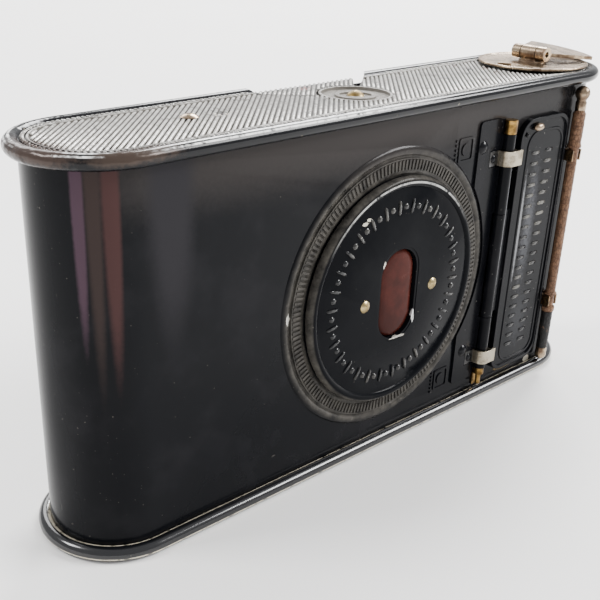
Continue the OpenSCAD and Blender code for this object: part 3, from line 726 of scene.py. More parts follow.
def grid_faces(rows: int, cols: int, wrap_rows: bool = False) -> Array:
    """Four-sided faces of a grid of points stored row by row, with the last point of a row joined to its first.

    Args:
        rows: Rows of points.
        cols: Points in a row.
        wrap_rows: True joins the last row to the first.
    Returns:
        One row of four indices for each face.
    """
    i = np.arange(rows if wrap_rows else rows - 1)[:, None]
    j = np.arange(cols)[None, :]
    following, beside = (i + 1) % rows*cols, (j + 1) % cols
    return np.stack([i*cols + j, i*cols + beside, following + beside, following + j], -1).reshape(-1, 4)


def many(unit: Array, faces: Array, count: int) -> Array:
    """Faces of count copies of one unit whose points follow each other."""
    return (faces[None] + (np.arange(count)*len(unit))[:, None, None]).reshape(-1, 4)


def lathe(profile: Sequence[tuple[float, float]], centre: Array, turns: int = 40) -> tuple[Array, Array]:
    """A turned shape: each profile point (radius, height) goes round the upright axis through centre.

    Args:
        profile: Radius and height pairs in order along the outline.
        centre: A point on the axis.
        turns: Points round the axis.
    Returns:
        Points and four-sided faces.
    """
    r, h = np.array(profile, float).T
    around = np.arange(turns)/turns*2*math.pi
    points = np.stack([r[:, None]*np.cos(around), r[:, None]*np.sin(around), np.repeat(h[:, None], turns, 1)], -1)
    return points.reshape(-1, 3) + centre, grid_faces(len(r), turns)


def joined(parts: Sequence[tuple[Array, Array]]) -> tuple[Array, Array]:
    """Several point and face sets as one."""
    starts = np.cumsum([0] + [len(p) for p, _ in parts[:-1]])
    return np.concatenate([p for p, _ in parts]), np.concatenate([f + s for (_, f), s in zip(parts, starts)])


def unit_ball(rows: int = 5, cols: int = 8) -> tuple[Array, Array]:
    """A closed ball of radius 1: cos(latitude) times the circle, and sin(latitude) upwards.

    Args:
        rows: Latitudes from pole to pole.
        cols: Points of each.
    Returns:
        Points and four-sided faces.
    """
    lat = np.linspace(-math.pi/2, math.pi/2, rows)
    lon = np.arange(cols)/cols*2*math.pi
    r, z = np.cos(lat)[:, None], np.repeat(np.sin(lat)[:, None], cols, 1)
    points = np.stack([r*np.cos(lon), r*np.sin(lon), z], -1).reshape(-1, 3)
    return points, grid_faces(rows, cols)


def beads(centres: Array, along: Array, normal: Array, half: Triple, square: float = 1.0) -> tuple[Array, Array]:
    """Beads or bars: a unit ball, its coordinates raised to a power, stretched along three directions.

    Args:
        centres: Centres, one row each.
        along: Unit direction of the first half size, for all beads or one row each.
        normal: Unit direction of the third half size, for all beads or one row each.
        half: Half sizes along, across and outwards.
        square: Power below 1 that squares a round bead up into a bar.
    Returns:
        Points and faces of all beads.
    """
    ball, faces = unit_ball()
    ball = np.sign(ball)*np.abs(ball)**square
    along, normal = (np.broadcast_to(v, centres.shape) for v in (along, normal))
    across = np.cross(normal, along)
    points = (centres[:, None] + ball[None, :, :1]*half[0]*along[:, None] + ball[None, :, 1:2]*half[1]*across[:, None]
              + ball[None, :, 2:]*half[2]*normal[:, None])
    return points.reshape(-1, 3), many(ball, faces, len(centres))


@dataclass
class Outline:
    """The rounded outline of the case: two half circles joined by straight sides."""

    half: float

    def path(self, radius: float, pitch: float) -> tuple[Array, Array, Array]:
        """Points at an even pitch round the outline at a distance from its middle line.

        Args:
            radius: Distance from the middle line.
            pitch: Wanted spacing, adjusted so that a whole number fits.
        Returns:
            Points, unit directions along the path and unit directions outwards, all in X and Y.
        """
        side, bend = 2*self.half, math.pi*radius
        total = 2*(side + bend)
        s = np.arange(round(total/pitch))*total/round(total/pitch)
        on = [s < side, (s >= side) & (s < side + bend), (s >= side + bend) & (s < 2*side + bend), s >= 2*side + bend]
        a1, a3 = (s - side)/radius, (s - 2*side - bend)/radius
        zero = np.zeros_like(s)
        turn = np.select(on, [zero, a1, zero + math.pi, a3 + math.pi])
        x0 = np.select(on, [s - self.half, zero + self.half, self.half - (s - side - bend), zero - self.half])
        out = np.stack([np.sin(turn), -np.cos(turn)], -1)
        along = np.stack([np.cos(turn), np.sin(turn)], -1)
        return np.stack([x0, zero], -1) + out*radius, along, out

    def distance(self, points: Array) -> Array:
        """Distance of points from the middle line."""
        return np.hypot(np.maximum(np.abs(points[..., 0]) - self.half, 0), points[..., 1])


LOW, HIGH = (np.array(end)/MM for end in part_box("base_plate"))
OUTLINE = Outline(half=(HIGH[0] - LOW[0])/2 - (HIGH[1] - LOW[1])/2)
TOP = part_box("top_cover")[1][2]/MM

# The case's dust ring over the knurled ring is dust, lightened to stand also for painted highlights on it.
JAPAN_CASE = Japan("case_japan", Slot.JAPAN, gloss=0.07, roughness=0.19, dust_and_sheen_ring=(29.6, 19.6, 23.4), spots=(
    Spot((-36.8, 10.5, 3.6), (3.2, 0.8, 0.5), "#57482c", 0.3), Spot((-45, 11, 2.6), (1.0, 2, 0.9), "#a39e92", 0.5),
    Spot((22.9, 10.8, 30.6), (0.5, 0.6, 1.0), "#b9b6ae", 0.5, 1.6),
    # Painted reflection: a faint brown band along the top of the back, below the rim.
    Spot((10.0, 10.4, 57.5), (46.0, 3.0, 5.5), "#2b2827", 0.0, 0.5, 1.4),
    # Painted reflection: these four upright warm and dark bands on the rounded +X end stand for things mirrored in its
    # gloss.
    Spot((55.7, 6.7, 56.0), (0.7, 1.2, 21.0), "#40303a", 0.0, 0.2, 0.5),
    Spot((54.3, 8.0, 56.0), (0.9, 1.4, 25.0), "#2e2523", 0.0, 0.2, 0.7),
    Spot((52.4, 9.3, 56.0), (1.1, 1.3, 24.0), "#3a2625", 0.0, 0.2, 0.6),
    Spot((44.0, 10.3, 56.0), (3.4, 2.0, 20.0), "#201f22", 0.0, 0.3, 0.9)))
JAPAN_BASE = Japan("base_japan", Slot.JAPAN, gloss=0.6, rim_wear_and_highlight_lines=((10.62, 2.15, 0.42), (12.25, 0.75, 0.22)),
                   roughness=0.15)
# Painted highlights: the cover's two near-white rim lines stand for glints along the rolled rim, fading out towards -X.
JAPAN_COVER = RubbedRibs("cover_japan", Slot.RIBS, gloss=0.2, roughness=0.13, line_wear_and_highlight_colour="#f4f4f2",
                         lines_from_x=-12.0, rim_wear_and_highlight_lines=((11.38, 60.98, 0.22), (11.98, 60.71, 0.2)), spots=(
    Spot((0.0, 0.0, 60.2), (6.1, 6.1, 1.0), "#7f7b75", 0.45, 0.25, 0.2),
    Spot((58.6, 3.0, 60.6), (3.4, 6.5, 1.5), "#3f342f", 0.35, 1.6, 0.9),
    Spot((50.0, 11.0, 60.4), (7.0, 2.0, 1.0), "#3d332d", 0.4, 1.3, 0.9),
    Spot((26.9, -0.6, 60.6), (1.5, 0.9, 0.6), "#cfcac0", 0.4, 0.4),
    Spot((26.9, -0.6, 60.6), (1.05, 0.55, 0.6), "#3a3836", 0.1, 0.4),
    Spot((26.4, -1.3, 60.6), (1.5, 0.22, 0.6), "#26221f", 0.0, 0.5),
    Spot((-34.0, -7.2, 60.6), (0.7, 0.5, 0.6), "#543428", 0.1),
    Spot((-29.2, -0.4, 60.6), (0.6, 0.5, 0.6), "#241a17", 0.0),
    Spot((-37.1, -2.6, 60.6), (0.8, 0.6, 0.6), "#5d3a2e", 0.1),
    Spot((-35.4, 1.35, 60.6), (0.6, 0.5, 0.6), "#4d3027", 0.1),
    Spot((-33.4, -3.2, 60.6), (0.6, 0.6, 0.6), "#0b0b0b", 0.0),
    Spot((4.1, -7.6, 60.6), (1.0, 0.7, 0.6), "#97706b", 0.1)))
# Painted highlight: the crest line is a pale arc on the upper crest of the round plate.
JAPAN_DISC = Japan("disc_japan", Slot.JAPAN, haze="#101113", gloss=0.03, chips=0.72, roughness=0.14,
                   # The dust ring is dust, and on the plate's side wall also a painted reflection.
                   dust_and_sheen_ring=(29.6, 19.2, 23.0), crest_highlight_line=(29.6, 18.80, 0.24), line_wear_and_highlight_colour="#a5a5a2", spots=(
    # Painted highlights: the first two spots are glints on the inner slope of the raised edge.
    Spot((8.6, 12.05, 43.35), (0.7, 0.4, 0.3), "#b9b4a6", 0.3, 1.4),
    Spot((7.7, 12.05, 43.9), (0.6, 0.4, 0.25), "#b9b4a6", 0.3, 1.4),
    Spot((-4.95, 12.0, 24.3), (0.28, 0.6, 1.2), "#c4c4c2", 0.6, 1.5),
    Spot((3.2, 12.0, 35.2), (0.3, 0.6, 0.7), "#b5b0a6", 0.6, 1.5),
    Spot((-1.5, 12.0, 21.15), (1.9, 0.6, 0.2), "#a5a198", 0.4, 1.5)))
DISC_RUBBED = Japan("rubbed_disc_japan", Slot.JAPAN, colour="#0e0f11", haze="#45433f", gloss=0.3, dust="#b3b0a8",
                    roughness=0.14)
JAPAN_PLAIN = Japan("plain_japan", Slot.JAPAN, gloss=0.12)
JAPAN_DOOR = Japan("door_japan", Slot.JAPAN, gloss=0.06, dust="#6b6964", chips=0.7, roughness=0.18, spots=(
    # Painted reflection: the first two spots are pale streaks along the left of the door's panel.
    Spot((-37.3, 11.2, 33.5), (1.2, 0.8, 8.5), "#3d3e42", 0.3, 2.2, 1.8),
    Spot((-34.6, 11.2, 33.0), (0.35, 0.8, 9.0), "#6a6b6d", 0.45, 0.9, 0.8),
    # Painted highlight: a thin pale line down the hinge barrel.
    Spot((-27.6, 12.6, 36.0), (0.17, 0.5, 12.0), "#7d7f84", 0.5, 0.5, 0.6),
    Spot((-38.6, 11.2, 14.0), (2.2, 0.8, 5.0), "#232427", 0.1, 1.8, 1.6)))
DOOR_RUBBED = Japan("rubbed_door_japan", Slot.JAPAN, colour="#1c1c1d", haze="#67655f", gloss=0.25, dust="#a5a29b",
                    roughness=0.22)
NICKEL = Plate("nickel_plate", Slot.NICKEL, "#bcb3a3", "#837560", 0.22)
STRAP_NICKEL = Plate("strap_nickel", Slot.NICKEL, "#9c9484", "#655a49", 0.22, painted_x=-25.6)
NICKEL_WARM = Plate("nickel_rubbed_to_brass", Slot.NICKEL, "#a5937c", "#5f4d3f", 0.2)
BRASS = Plate("drawn_brass", Slot.BRASS, "#9c7c46", "#4f3b20", 0.26)
BRASS_HEAD = Plate("rivet_brass", Slot.BRASS, "#a3936c", "#6c5935", 0.28)
STEEL = Plate("blackened_steel", Slot.STEEL, "#4a4a4c", "#2a2a2b", 0.38, stretch=(1, 1, 6))
CLIP = Plate("clip_brass", Slot.JAPAN, "#84694a", "#2b241d", 0.3, 1.2)
WHEEL = Plate("satin_steel", Slot.WHEEL, "#98948a", "#6f6b62", 0.36)
COPPER = BrownedCopper("browned_copper", Slot.COPPER)
RED = RedCelluloid("red_celluloid", Slot.RED)
LEATHER = FoldedLeather("folded_leather", Slot.LEATHER)
GLASS = TwoTone("clear_glass", Slot.GLASS, ("#eef4f4", "#f6fafa"), (6, 2, 0.5),
                (("Roughness", 0.02), ("Transmission Weight", 1.0), ("IOR", 1.52)))
WOOD = TwoTone("turned_wood", Slot.WOOD, ("#8d6236", "#c39a63"), (0.6, 4, 0.6, (1, 1, 18)), (("Roughness", 0.55),),
               0.02)
FELT = TwoTone("wool_felt", Slot.FELT, ("#250c0a", "#421713"), (0.25, 5, 0.75),
               (("Roughness", 0.95), ("Sheen Weight", 0.1)), 0.06)


@dataclass
class Assembly:
    """A sub-assembly: rows of a finish, a bevel in millimetres and the CAD nodes that get them."""

    shop: Shop
    rows: ClassVar[tuple[tuple[Finish, float, str], ...]] = ()

    def build(self) -> None:
        """Dresses the nodes of every row."""
        for finish, bevel, nodes in self.rows:
            for node in nodes.split():
                self.shop.dress(node, finish, bevel)


@dataclass
class Case(Assembly):
    """Bottom plate, tube with its stamped back, and the fittings that stay on it."""

    rows: ClassVar = (
        (JAPAN_BASE, 0.05, "base_plate"), (JAPAN_CASE, 0.05, "body_shell"), (NICKEL, 0.05, "base_pivots"),
        (JAPAN_DOOR, 0.08, "hinge_plate"), (STRAP_NICKEL, 0.06, "hinge_straps"), (JAPAN_PLAIN, 0, "hinge_rivets"),
        (BRASS, 0.08, "hinge_pin"), (BRASS, 0.05, "door_spring"), (CLIP, 0.08, "stylus_clips"),
        (JAPAN_PLAIN, 0.05, "film_gate"), (NICKEL, 0.05, "roller_left roller_right"), (NICKEL, 0.04, "case_pins"),
        (WOOD, 0.08, "spool_core"), (JAPAN_PLAIN, 0.06, "spool_flanges"))


@dataclass
class TopCover(Assembly):
    """The ribbed cover with its swinging latch leaf, a row of beads along its edge, and rivets."""

    rows: ClassVar = ((BRASS_HEAD, 0.05, "latch_rivet"), (NICKEL_WARM, 0.05, "cover_rivet"),
                      (NICKEL, 0.05, "cover_pivot"))
    rim_rise: float = 0.6
    plate_z: float = TOP - rim_rise
    slack: float = 0.05
    fine_slack: float = 0.01
    rib_pitch: float = 0.76
    rib_half: float = 0.255
    rib_height: float = 0.28
    rib_root: float = 0.12
    rib_angle: float = 45.0
    rib_field: float = 8.6
    rib_reach: float = 70.0
    rib_lines: int = 100
    rib_step: float = 0.05
    rib_least: float = 0.6
    rib_taper: float = 0.3
    taper_knee: float = 0.35
    taper_most: float = 0.4
    rib_swell: tuple[float, ...] = (0.15, 0.75, 1, 1, 0.75, 0.15)
    rib_round: float = 0.75
    dish_r: float = 6.1
    leaf_dish_r: float = 6.45
    key_r: float = 10.45
    bead_r: float = 9.65
    bead_pitch: float = 0.8
    bead_lift: float = 0.2
    bead_slant: float = 0.9
    bead_half: Triple = (0.42, 0.22, 0.2)
    notch_x: tuple[float, float] = (-17.0, 14.9)
    leaf: Pairs = ((0, 0), (-9.35, -9.85), (12.9, -9.85), (13.5, -7.5), (7.45, -2.8))
    leaf_front_y: float = -9.7
    leaf_side: float = 0.12
    opening: Pairs = ((-0.3, 0.3), (-13.3, -13.4), (13.3, -13.4), (13.3, -9.85), (13.95, -7.45), (7.65, -2.4),
                      (0.15, 0.45))
    swing: Pairs = ((0, 0), (-23.6, -18.5), (-19.8, -22.6))

    def build(self) -> None:
        """Makes and dresses every piece of the cover."""
        for node in ("top_cover", "cover_latch"):
            self.shop.dress(node, JAPAN_COVER, 0.05, self.flatten)
        self.ribs("cover_ribs", "cover", self.on_cover)
        self.ribs("latch_ribs", "latch", self.on_leaf)
        self.bead_row()
        super().build()

    def flatten(self, points: Array) -> Array:
        """Lets the square ribs down to the plate, to leave room for rounded ones.

        Args:
            points: Points of the cover or the leaf.
        Returns:
            The points, with those above the plate in the ribs' field moved down to it.
        """
        field = OUTLINE.distance(points) < self.rib_field + self.slack
        on_leaf = inside(points, self.leaf)
        above = points[:, 2] - self.plate_z
        high = (above > self.fine_slack) & (above < self.rib_height + self.fine_slack)
        moved = points.copy()
        moved[(field | on_leaf) & high & beyond(points, self.dish_r - self.slack), 2] = self.plate_z
        return moved

    def on_cover(self, points: Array) -> Array:
        """Tests where the cover carries ribs: clear of the key, the dish, the leaf and its swing.

        Args:
            points: Points in X and Y.
        Returns:
            True for each point that may carry a rib.
        """
        clear = beyond(points, self.key_r, -OUTLINE.half) & beyond(points, self.dish_r)
        open_part = inside(points, self.opening) | inside(points, self.swing)
        return (OUTLINE.distance(points) < self.rib_field) & clear & ~open_part

    def on_leaf(self, points: Array) -> Array:
        """Tests where the latch leaf carries ribs: clear of its dish and its edges.

        Args:
            points: Points in X and Y.
        Returns:
            True for each point that may carry a rib.
        """
        side = np.array([self.leaf_side, 0.0])
        shrunk = inside(points + side, self.leaf) & inside(points - side, self.leaf)
        return shrunk & beyond(points, self.leaf_dish_r) & (points[..., 1] > self.leaf_front_y)

    def ribs(self, name: str, body: str, allowed: Callable[[Array], Array]) -> None:
        """Rounded bars along parallel slanting lines, cut where allowed says no.

        Each line's points are direction times distance plus row times pitch. A bar's section is half of a
        rounded square, drawn in at the bar's ends.

        Args:
            name: The piece's name.
            body: The body that it rides on.
            allowed: True for points in X and Y that may carry a rib.
        """
        a = math.radians(self.rib_angle)
        along, across = np.array([math.cos(a), math.sin(a)]), np.array([-math.sin(a), math.cos(a)])
        t = np.arange(-self.rib_reach, self.rib_reach, self.rib_step)
        starts, ends = [], []
        for row in range(-self.rib_lines, self.rib_lines + 1):
            line = along*t[:, None] + across*row*self.rib_pitch
            change = np.diff(np.concatenate([[0], allowed(line).astype(int), [0]]))
            for i, j in zip(np.flatnonzero(change == 1), np.flatnonzero(change == -1)):
                if j - i > round(self.rib_least/self.rib_step):
                    starts.append(line[i])
                    ends.append(line[j - 1])
        begin, end = np.array(starts), np.array(ends)
        inset = np.minimum(self.rib_taper/np.linalg.norm(end - begin, axis=1), self.taper_most)
        knee = inset*self.taper_knee
        station = np.stack([0*inset, knee, inset, 1 - inset, 1 - knee, 1 + 0*inset], 1)
        swell = np.array(self.rib_swell)
        angle = np.linspace(math.pi, 0, 6)
        c, s = np.cos(angle), np.sin(angle)
        side = np.append(np.sign(c)*np.abs(c)**self.rib_round, [1, -1])*self.rib_half
        up = np.append(np.abs(s)**self.rib_round*self.rib_height, [-self.rib_root]*2)
        base = begin[:, None] + station[..., None]*(end - begin)[:, None]
        points = np.empty((len(begin), len(swell), len(side), 3))
        points[..., :2] = base[:, :, None] + (swell[:, None]*side)[..., None]*across
        points[..., 2] = self.plate_z + np.where(up > 0, up*swell[:, None], up)
        last = (len(swell) - 1)*len(side)
        cap = np.array([[7, 0, 5, 6], [0, 1, 4, 5], [1, 2, 3, 4]])
        unit_faces = np.concatenate([grid_faces(len(swell), len(side)), cap, cap[:, ::-1] + last])
        faces = many(points[0].reshape(-1, 3), unit_faces, len(begin))
        self.shop.place(name, points.reshape(-1, 3), faces, JAPAN_COVER, body, angle=50)

    def bead_row(self) -> None:
        """Slanting beads round the edge like a twisted cord, left out where the front rim is notched."""
        at, along, out = OUTLINE.path(self.bead_r, self.bead_pitch)
        keep = ~((at[:, 1] < 0) & (at[:, 0] > self.notch_x[0]) & (at[:, 0] < self.notch_x[1]))
        at, along, out = at[keep], along[keep], out[keep]
        slant = along*math.cos(self.bead_slant) + out*math.sin(self.bead_slant)
        centres = np.column_stack([at, np.full(len(at), self.plate_z + self.bead_lift)])
        points, faces = beads(centres, np.column_stack([slant, 0*at[:, 0]]), UPWARDS, self.bead_half)
        self.shop.place("cover_bead_row", points, faces, JAPAN_COVER, "cover")


@dataclass
class WindingKey(Assembly):
    """Nickel key: dish, spindle, folding wing and its pin."""

    rows: ClassVar = ((NICKEL_WARM, 0.05, "key_dish"), (NICKEL, 0.05, "key_spindle"), (NICKEL_WARM, 0.08, "key_wing"),
                      (NICKEL, 0.04, "key_pin"))


@dataclass
class BackDisc(Assembly):
    """Round back plate with its red window, brass rivets and a plain ring of bars and beads."""

    centre_z: float = 29.6
    face_y: float = 12.05
    ring_r: float = 14.9
    marks: int = 30
    bar_half: Triple = (1.3, 0.28, 0.24)
    bead_half: Triple = (0.55, 0.55, 0.26)
    window_at: tuple[float, float] = (-0.6, 29.2)
    window_straight: float = 3.65
    window_points: int = 17
    film: Pairs = ((0, 11.62), (2.4, 11.6), (3.4, 11.52), (3.95, 11.38), (4.18, 11.15), (4.24, 10.9), (4.26, 10.66),
                   (5.7, 10.66), (5.78, 10.58), (5.78, 10.05), (5.7, 9.98), (0, 9.98))

    def build(self) -> None:
        """Makes and dresses the plate's pieces."""
        self.shop.dress("window_disc", JAPAN_DISC, 0.08)
        self.shop.dress("window_frame", JAPAN_PLAIN, 0.05)
        self.window()
        self.shop.dress("window_rivets", BRASS_HEAD, 0)
        self.ornament()

    def window(self) -> None:
        """Celluloid sheet that swells through the window.

        Each profile pair is a distance from the window's upright middle line and a height in Y; the outline at
        that distance is two half circles, moved apart by the straight part.
        """
        turn = np.concatenate([np.linspace(a, a + math.pi, self.window_points) for a in (0, math.pi)])
        shift = np.repeat([self.window_straight, -self.window_straight], self.window_points)
        r, y = np.array(self.film, float).T
        x = r[:, None]*np.cos(turn) + self.window_at[0]
        z = r[:, None]*np.sin(turn) + shift + self.window_at[1]
        points = np.stack([x, np.repeat(y[:, None], len(turn), 1), z], -1).reshape(-1, 3)
        piece = self.shop.place("ruby_film", points, grid_faces(len(r), len(turn)), RED, "back_disc")
        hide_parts("ruby_window")

    def ornament(self) -> None:
        """A plain ring of raised radial bars with a round bead between each two."""
        turn = (np.arange(2*self.marks) + 0.5)/self.marks*math.pi
        out = np.stack([np.cos(turn), 0*turn, np.sin(turn)], -1)
        centres = out*self.ring_r + np.array([0, self.face_y, self.centre_z])
        points, faces = joined([beads(centres[k::2], out[k::2], BACKWARDS, half, square)
                                for k, (half, square) in enumerate(((self.bar_half, 0.5), (self.bead_half, 0.8)))])
        self.shop.place("disc_ornament", points, faces, DISC_RUBBED, "back_disc")


@dataclass
class WritingDoor(Assembly):
    """Hinged door with a sunk panel, two plain rows of raised bars and a nickel lip."""

    face_y: float = 11.2
    rows_x: tuple[float, float] = (-36.4, -40.6)
    bar_z: tuple[float, float] = (9.0, 47.6)
    bars: int = 20
    bar_half: Triple = (1.25, 0.36, 0.22)
    lip_at: Triple = (-35.6, 11.62, 52.5)
    lip_half: Triple = (1.35, 0.72, 0.8)
    stud_at: Triple = (-32.7, 11.5, 51.4)
    stud_half: Triple = (0.45, 0.45, 0.3)

    def build(self) -> None:
        """Makes and dresses the door's pieces."""
        self.shop.dress("writing_door", JAPAN_DOOR, 0.1)
        lip = self.knob("door_lip_shown", self.lip_at, self.lip_half, NICKEL_WARM)
        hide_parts("door_lip")
        self.knob("door_stud", self.stud_at, self.stud_half, JAPAN_PLAIN)
        pad = self.shop.dress("door_pad", FELT, 0.08)
        self.bar_rows()

    def knob(self, name: str, at: Triple, half: Triple, finish: Finish) -> bpy.types.Object:
        """Places a smooth egg-shaped knob on the door: a ball stretched along X, Z and outwards.

        Args:
            name: The piece's name.
            at: Its centre.
            half: Half sizes along X, Z and outwards.
            finish: The finish.
        Returns:
            The new object.
        """
        ball, faces = unit_ball(13, 24)
        points = ball[:, [0, 2, 1]]*np.array([half[0], half[2], half[1]]) + np.array(at)
        return self.shop.place(name, points, faces, finish, "door")

    def bar_rows(self) -> None:
        """Two upright rows of short raised bars on the panel, where the real door is stamped."""
        z = np.linspace(*self.bar_z, self.bars)
        centres = np.concatenate([np.stack([0*z + x, 0*z + self.face_y, z], -1) for x in self.rows_x])
        points, faces = beads(centres, SIDEWAYS, BACKWARDS, self.bar_half, 0.5)
        self.shop.place("door_rows", points, faces, DOOR_RUBBED, "door")


@dataclass
class Stylus(Assembly):
    """Turned stylus: a browned copper sleeve on a nickel core with a ball and a rounded writing end."""

    x: float = -47.8
    y: float = 11.95
    rough_parts: Pairs = ((5.5, 13.1), (17.7, 44.0), (47.9, 53.2))
    rough_share: float = 0.07
    rough_pitch: float = 0.35
    waves: tuple[Triple, ...] = ((3, 5.1, 0.0), (5, -3.7, 1.0), (2, 9.3, 2.0))
    sleeve: Pairs = (
        (0.62, 5.2), (1.02, 5.2), (1.12, 5.4), (1.15, 9.0), (1.15, 13.2), (1.0, 13.42), (1.24, 13.5), (1.3, 13.75),
        (1.3, 14.25), (1.22, 14.5), (0.95, 14.55), (0.95, 17.05), (1.24, 17.1), (1.3, 17.3), (1.22, 17.5),
        (1.0, 17.6), (1.0, 30), (1.0, 44.1), (0.95, 44.2), (0.95, 47.05), (1.26, 47.1), (1.32, 47.35), (1.24, 47.6),
        (1.18, 47.8), (1.22, 50), (1.22, 53.3), (1.1, 53.65), (0.98, 53.7), (0.95, 54), (0.62, 54))
    core: Pairs = (
        (0, 2.45), (0.5, 2.57), (0.88, 2.86), (1.08, 3.25), (1.15, 3.6), (1.1, 4.0), (1.1, 4.9), (1.0, 5.15),
        (0.6, 5.18), (0.6, 54.02), (0.95, 54.05), (1.0, 54.4), (1.0, 55.5), (0.84, 55.8), (0.92, 56.05),
        (1.16, 56.42), (1.315, 56.85), (1.34, 57.1), (1.3, 57.48), (1.12, 57.87), (0.8, 58.2), (0.42, 58.4), (0, 58.45))

    def build(self) -> None:
        """Turns the sleeve, with a finely uneven skin on its plain lengths, and the core."""
        centre = np.array([self.x, self.y, 0.0])
        r, z = np.array(self.sleeve[1:-1]).T
        extra = np.concatenate([np.arange(a, b, self.rough_pitch) for a, b in self.rough_parts])
        heights = np.concatenate([z, extra])
        order = np.argsort(heights, kind="stable")
        radii = np.concatenate([r, np.interp(extra, z, r)])[order]
        bore = self.sleeve[0]
        points, faces = lathe([bore, *zip(radii, heights[order]), self.sleeve[-1], bore], centre)
        piece = self.shop.place("stylus_sleeve", self.uneven(points, centre), faces, COPPER, "pen", angle=50)
        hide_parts("stylus")
        piece = self.shop.place("stylus_core", *lathe(self.core, centre), NICKEL_WARM, "pen", angle=50)
        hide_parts("stylus_end")

    def uneven(self, points: Array, centre: Array) -> Array:
        """Draws the skin in where three sine waves along and round the tube add up, by a share up to rough_share.

        Each wave has its periods in a turn, its radians a millimetre of height and its phase.

        Args:
            points: Points of the sleeve.
            centre: A point on its axis.
        Returns:
            The points, unchanged outside the rough parts.
        """
        x, y, z = (points - centre).T
        turn = np.arctan2(y, x)
        wave = sum(np.sin(periods*turn + rise*z + phase) for periods, rise, phase in self.waves)
        on = np.any([(z > a) & (z < b) for a, b in self.rough_parts], axis=0)
        share = 1 - np.where(on, self.rough_share*(wave/6 + 0.5), 0)
        return np.stack([x*share, y*share, z], -1) + centre


@dataclass
class Bellows(Assembly):
    """Pleated leather bellows, tapered from the picture frame to the lens board."""

    back_y: float = 5.5
    front_y: float = -6.06
    back_half: tuple[float, float] = (34.2, 23.5)
    front_half: tuple[float, float] = (27.0, 18.0)
    fold: float = 3.2
    folds: int = 14
    thickness: float = 0.22
    centre_z: float = 30.5
    corner_r: float = 2.2
    corner_points: int = 5

    def ring(self, half_x: Array, half_z: Array) -> Array:
        """Rounded rectangles: quarter circles about the corners of a smaller rectangle.

        Args:
            half_x: Half sizes in X.
            half_z: Half sizes in Z.
        Returns:
            One row of points in X and Z for each rectangle.
        """
        turn = np.arange(self.corner_points)/(self.corner_points - 1)*math.pi/2
        turns = np.concatenate([turn + k*math.pi/2 for k in range(4)])
        sx = np.repeat([1, -1, -1, 1], self.corner_points)
        sz = np.repeat([1, 1, -1, -1], self.corner_points)
        x = sx*(half_x[:, None] - self.corner_r) + self.corner_r*np.cos(turns)
        z = sz*(half_z[:, None] - self.corner_r) + self.corner_r*np.sin(turns)
        return np.stack([x, z], -1)

    def mark(self, mesh: bpy.types.Mesh) -> None:
        """Stores each point's place when folded, and how far out it is in its pleat: 1 on outer folds, 0 on inner.

        Args:
            mesh: The bellows' mesh.
        """
        flat = flat_points(mesh)
        mesh.attributes.new("rest", "FLOAT_VECTOR", "POINT").data.foreach_set("vector", flat)
        row = np.rint((self.back_y - flat[1::3]/MM)/(self.back_y - self.front_y)*2*self.folds)
        mesh.attributes.new("fold", "FLOAT", "POINT").data.foreach_set("value", (1 - row % 2).astype(np.float32))

    def build(self) -> None:
        """Zigzag between an outer and an inner rectangle that both taper towards the lens board."""
        steps = 2*self.folds + 1
        share = np.linspace(0, 1, steps)
        y = self.back_y + share*(self.front_y - self.back_y)
        inward = np.where(np.arange(steps) % 2 == 1, self.fold, 0.0)
        half_x, half_z = (back + share*(front - back) - inward for back, front in zip(self.back_half, self.front_half))
        outer, inner = (self.ring(half_x - wall, half_z - wall) for wall in (0.0, self.thickness))
        both = np.concatenate([outer, inner[::-1]])
        cols = outer.shape[1]
        points = np.empty((2*steps, cols, 3))
        points[..., 0], points[..., 2] = both[..., 0], both[..., 1] + self.centre_z
        points[..., 1] = np.concatenate([y, y[::-1]])[:, None]
        faces = grid_faces(2*steps, cols, wrap_rows=True)
        piece = self.shop.place("bellows_pleats", points.reshape(-1, 3), faces, LEATHER, "case", angle=20)
        self.mark(piece.data)
        piece.parent = None
        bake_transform(piece)
        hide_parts("bellows")


@dataclass
class Front(Assembly):
    """Lens board, shutter, lens, finder and the struts that carry them."""

    rows: ClassVar = (
        (JAPAN_PLAIN, 0.08, "front_board finger_grips shutter_case shutter_face finder_body"),
        (STEEL, 0.04, "board_brackets shutter_blade"), (NICKEL, 0.05, "release_lever speed_pointer lens_ring"),
        (GLASS, 0, "lens_glass finder_lens finder_window"), (WHEEL, 0.03, "aperture_wheel"),
        *(row for pair in ("a1", "b1", "b2", "a2")
          for row in ((STEEL, 0.06, f"link_{pair}_left link_{pair}_right"), (NICKEL, 0.04, f"rivets_{pair}"))))


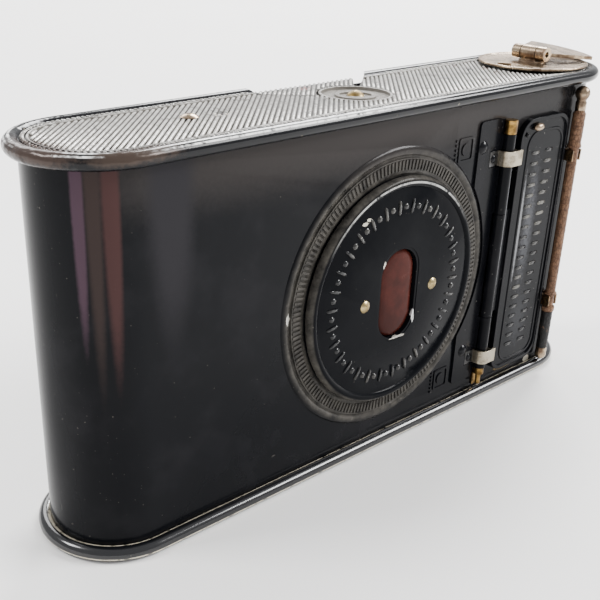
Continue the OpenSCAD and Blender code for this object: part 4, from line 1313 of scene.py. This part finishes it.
@dataclass
class Studio:
    """Pale floor, soft lights and the camera at the photograph's angle."""

    azimuth: float = 138.972
    elevation: float = 25.584
    target: Triple = (18.846, 0.0, 22.474)
    distance: float = 156.566
    roll: float = 1.234
    focal_share: float = 938.484/600
    sensor: float = 36.0
    shift: tuple[float, float] = (0.0631, 0.0621)
    clip_m: tuple[float, float] = (0.005, 20)
    floor_half_m: float = 4.0
    air: float = 1.0
    lamps: tuple[tuple[str, Triple, Triple, tuple[float, float], float], ...] = (
        ("rim_strip", (-990, 720, 870), (0, 0, 50), (750, 400), 38.0),
        ("ridge_strip", (-990, -585, 970), (0, 0, 50), (750, 400), 38.0),
        ("end_lamp", (825, -525, 1140), (30, 0, 40), (400, 400), 16.0),
        ("front_softbox", (-300, -1200, 820), (0, 0, 30), (600, 600), 9.0))

    def camera(self) -> None:
        """Places the camera: it looks at the target from the given angle, rolled a little."""
        a, e, r = (math.radians(angle) for angle in (self.azimuth, self.elevation, self.roll))
        back = Vector((math.sin(a)*math.cos(e), -math.cos(a)*math.cos(e), math.sin(e)))
        right = (-back).cross(Vector((0, 0, 1))).normalized()
        up = right.cross(-back)
        rows = Matrix((math.cos(r)*right + math.sin(r)*up, -math.sin(r)*right + math.cos(r)*up, back))
        data = bpy.data.cameras.new("camera")
        data.sensor_width = self.sensor
        data.lens = self.sensor*self.focal_share
        data.shift_x, data.shift_y = self.shift
        data.clip_start, data.clip_end = self.clip_m
        cam = linked("camera", data)
        place = (Vector(self.target) + back*self.distance)*MM
        cam.matrix_world = Matrix.Translation(place) @ rows.transposed().to_4x4()
        bpy.context.scene.camera = cam

    def floor(self) -> None:
        """A large pale floor."""
        mesh = bpy.data.meshes.new("floor")
        far = self.floor_half_m
        mesh.from_pydata([(-far, -far, 0), (far, -far, 0), (far, far, 0), (-far, far, 0)], [], [(0, 1, 2, 3)])
        t = Tree("pale_floor")
        t.feed({"Base Color": t.mix(t.noise(60, 2, 0.5), "#f1f0ee", "#f4f3f2"), "Roughness": 0.9,
                "Specular IOR Level": 0.1})
        mesh.materials.append(t.material)
        floor = linked("floor", mesh)

    def lamp(self, name: str, place: Triple, aim: Triple, size: tuple[float, float], watts: float) -> None:
        """Adds an area lamp.

        Args:
            name: Its name.
            place: Where it is.
            aim: The point that it faces.
            size: Its two sides.
            watts: Its power.
        """
        data = bpy.data.lights.new(name, "AREA")
        data.shape = "RECTANGLE"
        data.size, data.size_y = size[0]*MM, size[1]*MM
        data.energy = watts
        lamp = linked(name, data)
        where = Vector(place)*MM
        lamp.location = where
        lamp.rotation_euler = (Vector(aim)*MM - where).to_track_quat("-Z", "Y").to_euler()

    def build(self) -> None:
        """Sets the whole stage."""
        self.camera()
        self.floor()
        for lamp in self.lamps:
            self.lamp(*lamp)
        world = bpy.data.worlds.new("studio_air")
        world.use_nodes = True
        background = world.node_tree.nodes["Background"].inputs
        background["Color"].default_value = linear("#f6f6f8")
        background["Strength"].default_value = self.air
        bpy.context.scene.world = world


def main() -> None:
    """Builds the camera's sub-assemblies in order."""
    logging.basicConfig(level=logging.INFO, format="%(name)s: %(message)s")
    shop = Shop()
    Studio().build()
    for assembly in (Case, TopCover, WindingKey, BackDisc, WritingDoor, Stylus, Bellows, Front):
        assembly(shop).build()


if __name__ == "__main__":
    main()
